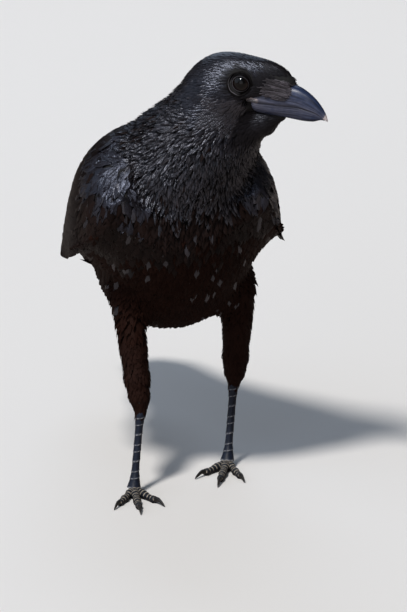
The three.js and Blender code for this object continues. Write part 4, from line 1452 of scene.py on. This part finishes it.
def swept(path_points, samples):
    """A Catmull-Rom path through a few points, and its direction."""
    p = np.array(path_points, float)
    p = np.concatenate([[2 * p[0] - p[1]], p, [2 * p[-1] - p[-2]]])
    n = len(p) - 3
    x = np.clip(samples, 0, 1) * n
    i = np.minimum(x.astype(int), n - 1)
    t = (x - i)[:, None]
    a, b, c, d = p[i], p[i + 1], p[i + 2], p[i + 3]
    at = 0.5 * (2 * b + (c - a) * t + (2 * a - 5 * b + 4 * c - d) * t**2 + (3 * b - a - 3 * c + d) * t**3)
    way = 0.5 * ((c - a) + 2 * (2 * a - 5 * b + 4 * c - d) * t + 3 * (3 * b - a - 3 * c + d) * t**2)
    return at, unit(way)


def sweep(path, way, top, across_radius, deep_radius):
    """Rings round a path. top is the way that the upper or front side faces."""
    across = unit(np.cross(np.broadcast_to(way, path.shape), top))
    lift = unit(np.cross(across, way))
    angle = around(across_radius.shape[1])
    side = (across_radius * np.cos(angle))[..., None] * across[:, None]
    return path[:, None] + side + (deep_radius * np.sin(angle))[..., None] * lift[:, None]


def ahead(heading):
    """The level way that a heading in degrees points."""
    return np.array([math.sin(math.radians(heading)), -math.cos(math.radians(heading)), 0.0])


def shank(name, leg):
    s, phase = plates(9, [0.0, 0.02, 0.05, 0.12, 0.35, 0.6, 0.8, 0.9, 0.95, 0.985])
    s = (s + 0.016 * np.sin(6 * np.pi * s))[:, None]  # plates of unequal length
    phase = phase[:, None]
    top = np.array([*leg["ankle"], ANKLE_CUT + 0.5])
    bottom = np.array([*leg["foot"], TOE_JOINT_HEIGHT - 2.5])
    way = unit(bottom - top)
    girth = TARSUS_GIRTH(s) * (0.62 + 0.38 * smoothstep(-0.01, 0.07, s))
    angle = around(32)
    front = np.sin(angle)
    facing = smoothstep(-0.35, 0.15, front)
    waist = -0.22 * bell(front, -0.45, 0.18) * girth / 2.8
    back = 1 + 0.10 * bell(front, -1, 0.2)
    radius = girth + 0.34 * phase**1.5 * facing + waist
    rings = sweep(top + (bottom - top) * s, way, ahead(leg["heading"]), radius, radius * 1.18 * back)
    slant = np.cos(angle - 0.5) * np.minimum(1, 12 * s * (1 - s))
    rings = rings + way * slant[..., None]
    rim = bell(phase, 0.95, 0.055) * facing
    seam = 0.35 * bell(front, -0.38, 0.06)
    wear = np.clip(rim * (0.65 + 0.35 * np.sin(angle * 7 + s * 60)) + seam, 0, 1)
    tube("shank_" + name, rings, wear, LEG_SKIN_SKY_TINTED, ["tarsus_" + name], turned_out=True)


def digit(name, leg, kind, toe):
    """A toe with its plates, then its claw."""
    forward = ahead(leg["heading"] + toe["turn"] * HEAD_SIDES[name])
    reach, rest = toe["reach"], toe["radius"] * 0.86

    def at(along, height):
        return np.array([*leg["foot"], 0.0]) + forward * along + [0, 0, height]

    def lay(shape, solid, path, way, radius, flat, wear, material, slot):
        rings = sweep(path, way, UP, radius * flat, radius)
        rings[..., 2] = np.maximum(rings[..., 2], 0.0)
        replaced = [f"{solid}_{kind}_{name}"]
        tube(f"{shape}_{kind}_{name}", rings, wear, material, replaced, turned_out=True)

    s, phase = plates(int(reach / 3.4), [0.0, 0.08, 0.3, 0.6, 0.80, 0.87, 0.93, 0.97])
    knuckles = [at(-0.5, TOE_JOINT_HEIGHT - 2.6), at(reach * 0.3, rest + 0.9), at(reach * 0.65, rest)]
    path, way = swept([*knuckles, at(reach + 0.8, rest - 0.2)], s)
    s, phase = s[:, None], phase[:, None]
    angle = around(24)
    facing = smoothstep(-0.05, 0.4, np.sin(angle))
    girth = toe["radius"] * (1 + 0.13 * np.cos(2 * np.pi * toe["joints"] * s)) * (1.1 - 0.24 * s)
    girth = girth * np.sqrt(np.clip((1.0 - s) / 0.05, 0.12, 1))
    pads = 0.10 * np.cos(4 * np.pi * toe["joints"] * s) * (1 - facing)
    radius = girth + 0.26 * phase**1.5 * facing * smoothstep(0.0, 0.12, s) + pads
    rim = bell(phase, 0.9, 0.075) * facing
    wear = np.clip(rim * (0.95 + 0.30 * np.sin(angle * 5 + s * 40)), 0, 1)
    lay("digit", "toe", path, way, radius, 0.94, wear, TOE_SKIN, "leg_scutes")

    start, long, rise = reach - 1.6, toe["claw"], toe["radius"] * 0.9
    hook = [at(start, rise - 0.4), at(start + long * 0.42, rise + 1.3), at(start + long * 0.85, rise - 0.5)]
    t = np.linspace(0, 1, 22)
    path, way = swept([*hook, at(reach - 0.3 + long, 0.6)], t)
    thick = (toe["radius"] * 0.66 * (1 - t) ** 0.72 + 0.22)[:, None] * np.ones(16)
    wear = 0.15 + 0.5 * t[:, None] * np.ones(16)
    lay("talon", "claw", path, way, thick, 0.72, wear, CLAW_HORN, "claw_horn")


for name, leg in LEGS.items():
    shank(name, leg)
    for kind, toe in TOES.items():
        digit(name, leg, kind, toe)


# ------------------------------------------------------------------ camera, light, floor
AZIMUTH, ELEVATION = math.radians(-12), math.radians(17)
DISTANCE = 13000.0
VIEW_HEIGHT = 470.769  # how much of the bird's upright the picture holds
AIM_RIGHT, AIM_UP, AIM_NEAR = 21.923, 135.385, 54  # from the floor's middle to what the camera looks at


def stand(thing, place, way):
    """Puts a lamp or the camera at a place, facing a way."""
    thing.location = place
    thing.rotation_mode = "QUATERNION"
    thing.rotation_quaternion = way.to_track_quat("-Z", "Y")


across = np.array([math.cos(AZIMUTH), math.sin(AZIMUTH), 0])
level = math.cos(ELEVATION)
back = np.array([math.sin(AZIMUTH) * level, -math.cos(AZIMUTH) * level, math.sin(ELEVATION)])
target = across * AIM_RIGHT + np.cross(back, across) * AIM_UP + back * AIM_NEAR
camera = in_scene("camera", bpy.data.cameras.new("camera"))
stand(camera, scene_points(target + back * DISTANCE), Vector(-back))
camera.data.sensor_width = 36
camera.data.lens = camera.data.sensor_width * DISTANCE / VIEW_HEIGHT
camera.data.clip_end = 100
bpy.context.scene.camera = camera


def lamp(name, kind, place, aim, power, colour, **settings):
    light = bpy.data.lights.new(name, kind)
    light.energy, light.color = power, colour
    for key, value in settings.items():
        setattr(light, key, value)
    stand(in_scene(name, light), place, aim)


lamp("key", "SUN", (0, 0, 0), Vector((0.34, 0.43, -0.80)), 2.6, (1.0, 0.97, 0.93), angle=math.radians(8))
for name, place, size, power, colour in [
    ("sky_behind", (0.25, 1.5, 1.6), 1.3, 9, (0.66, 0.80, 1.0)),
    ("sky_before", (-0.8, -1.2, 2.1), 1.5, 6, (0.56, 0.74, 1.0)),
    ("side", (-2.0, -0.2, 1.2), 2.4, 11, (0.74, 0.85, 1.0)),
    ("front", (-0.95, -2.4, 0.8), 2.2, 8, (0.95, 0.95, 1.0)),
]:
    aim = Vector((0, 0, 0.2)) - Vector(place)
    lamp(name, "AREA", place, aim, power, colour, shape="DISK", size=size)

world = bpy.data.worlds.new("world")
bpy.context.scene.world = world
world.use_nodes = True
tree = world.node_tree
soft = tree.nodes["Background"]
soft.inputs["Color"].default_value = (0.92, 0.95, 1.0, 1)
soft.inputs["Strength"].default_value = 0.07
seen = node(tree, "Background", {"Color": (0.600, 0.587, 0.552, 1), "Strength": 1.0})
by_camera = node(tree, "LightPath")["Is Camera Ray"]
both = node(tree, "MixShader", {0: by_camera, 1: soft.outputs[0], 2: seen[0]})
tree.links.new(both[0], tree.nodes["World Output"].inputs["Surface"])

FLOOR_REACH = 60.0  # metres
floor_mesh = bpy.data.meshes.new("floor")
floor_corners = [(x * FLOOR_REACH, y * FLOOR_REACH, 0) for x, y in ((-1, -1), (1, -1), (1, 1), (-1, 1))]
floor_mesh.from_pydata(floor_corners, [], [(0, 1, 2, 3)])
floor = in_scene("floor", floor_mesh)
pale = Look("pale_floor", Roughness=0.9, Specular_IOR_Level=0.1)
by_camera = pale.node("LightPath")["Is Camera Ray"]
floor_mesh.materials.append(pale.done(pale.mix(by_camera, (0.34, 0.29, 0.26, 1), (0.80, 0.78, 0.76, 1))))

bpy.context.scene.view_settings.view_transform = "Standard"
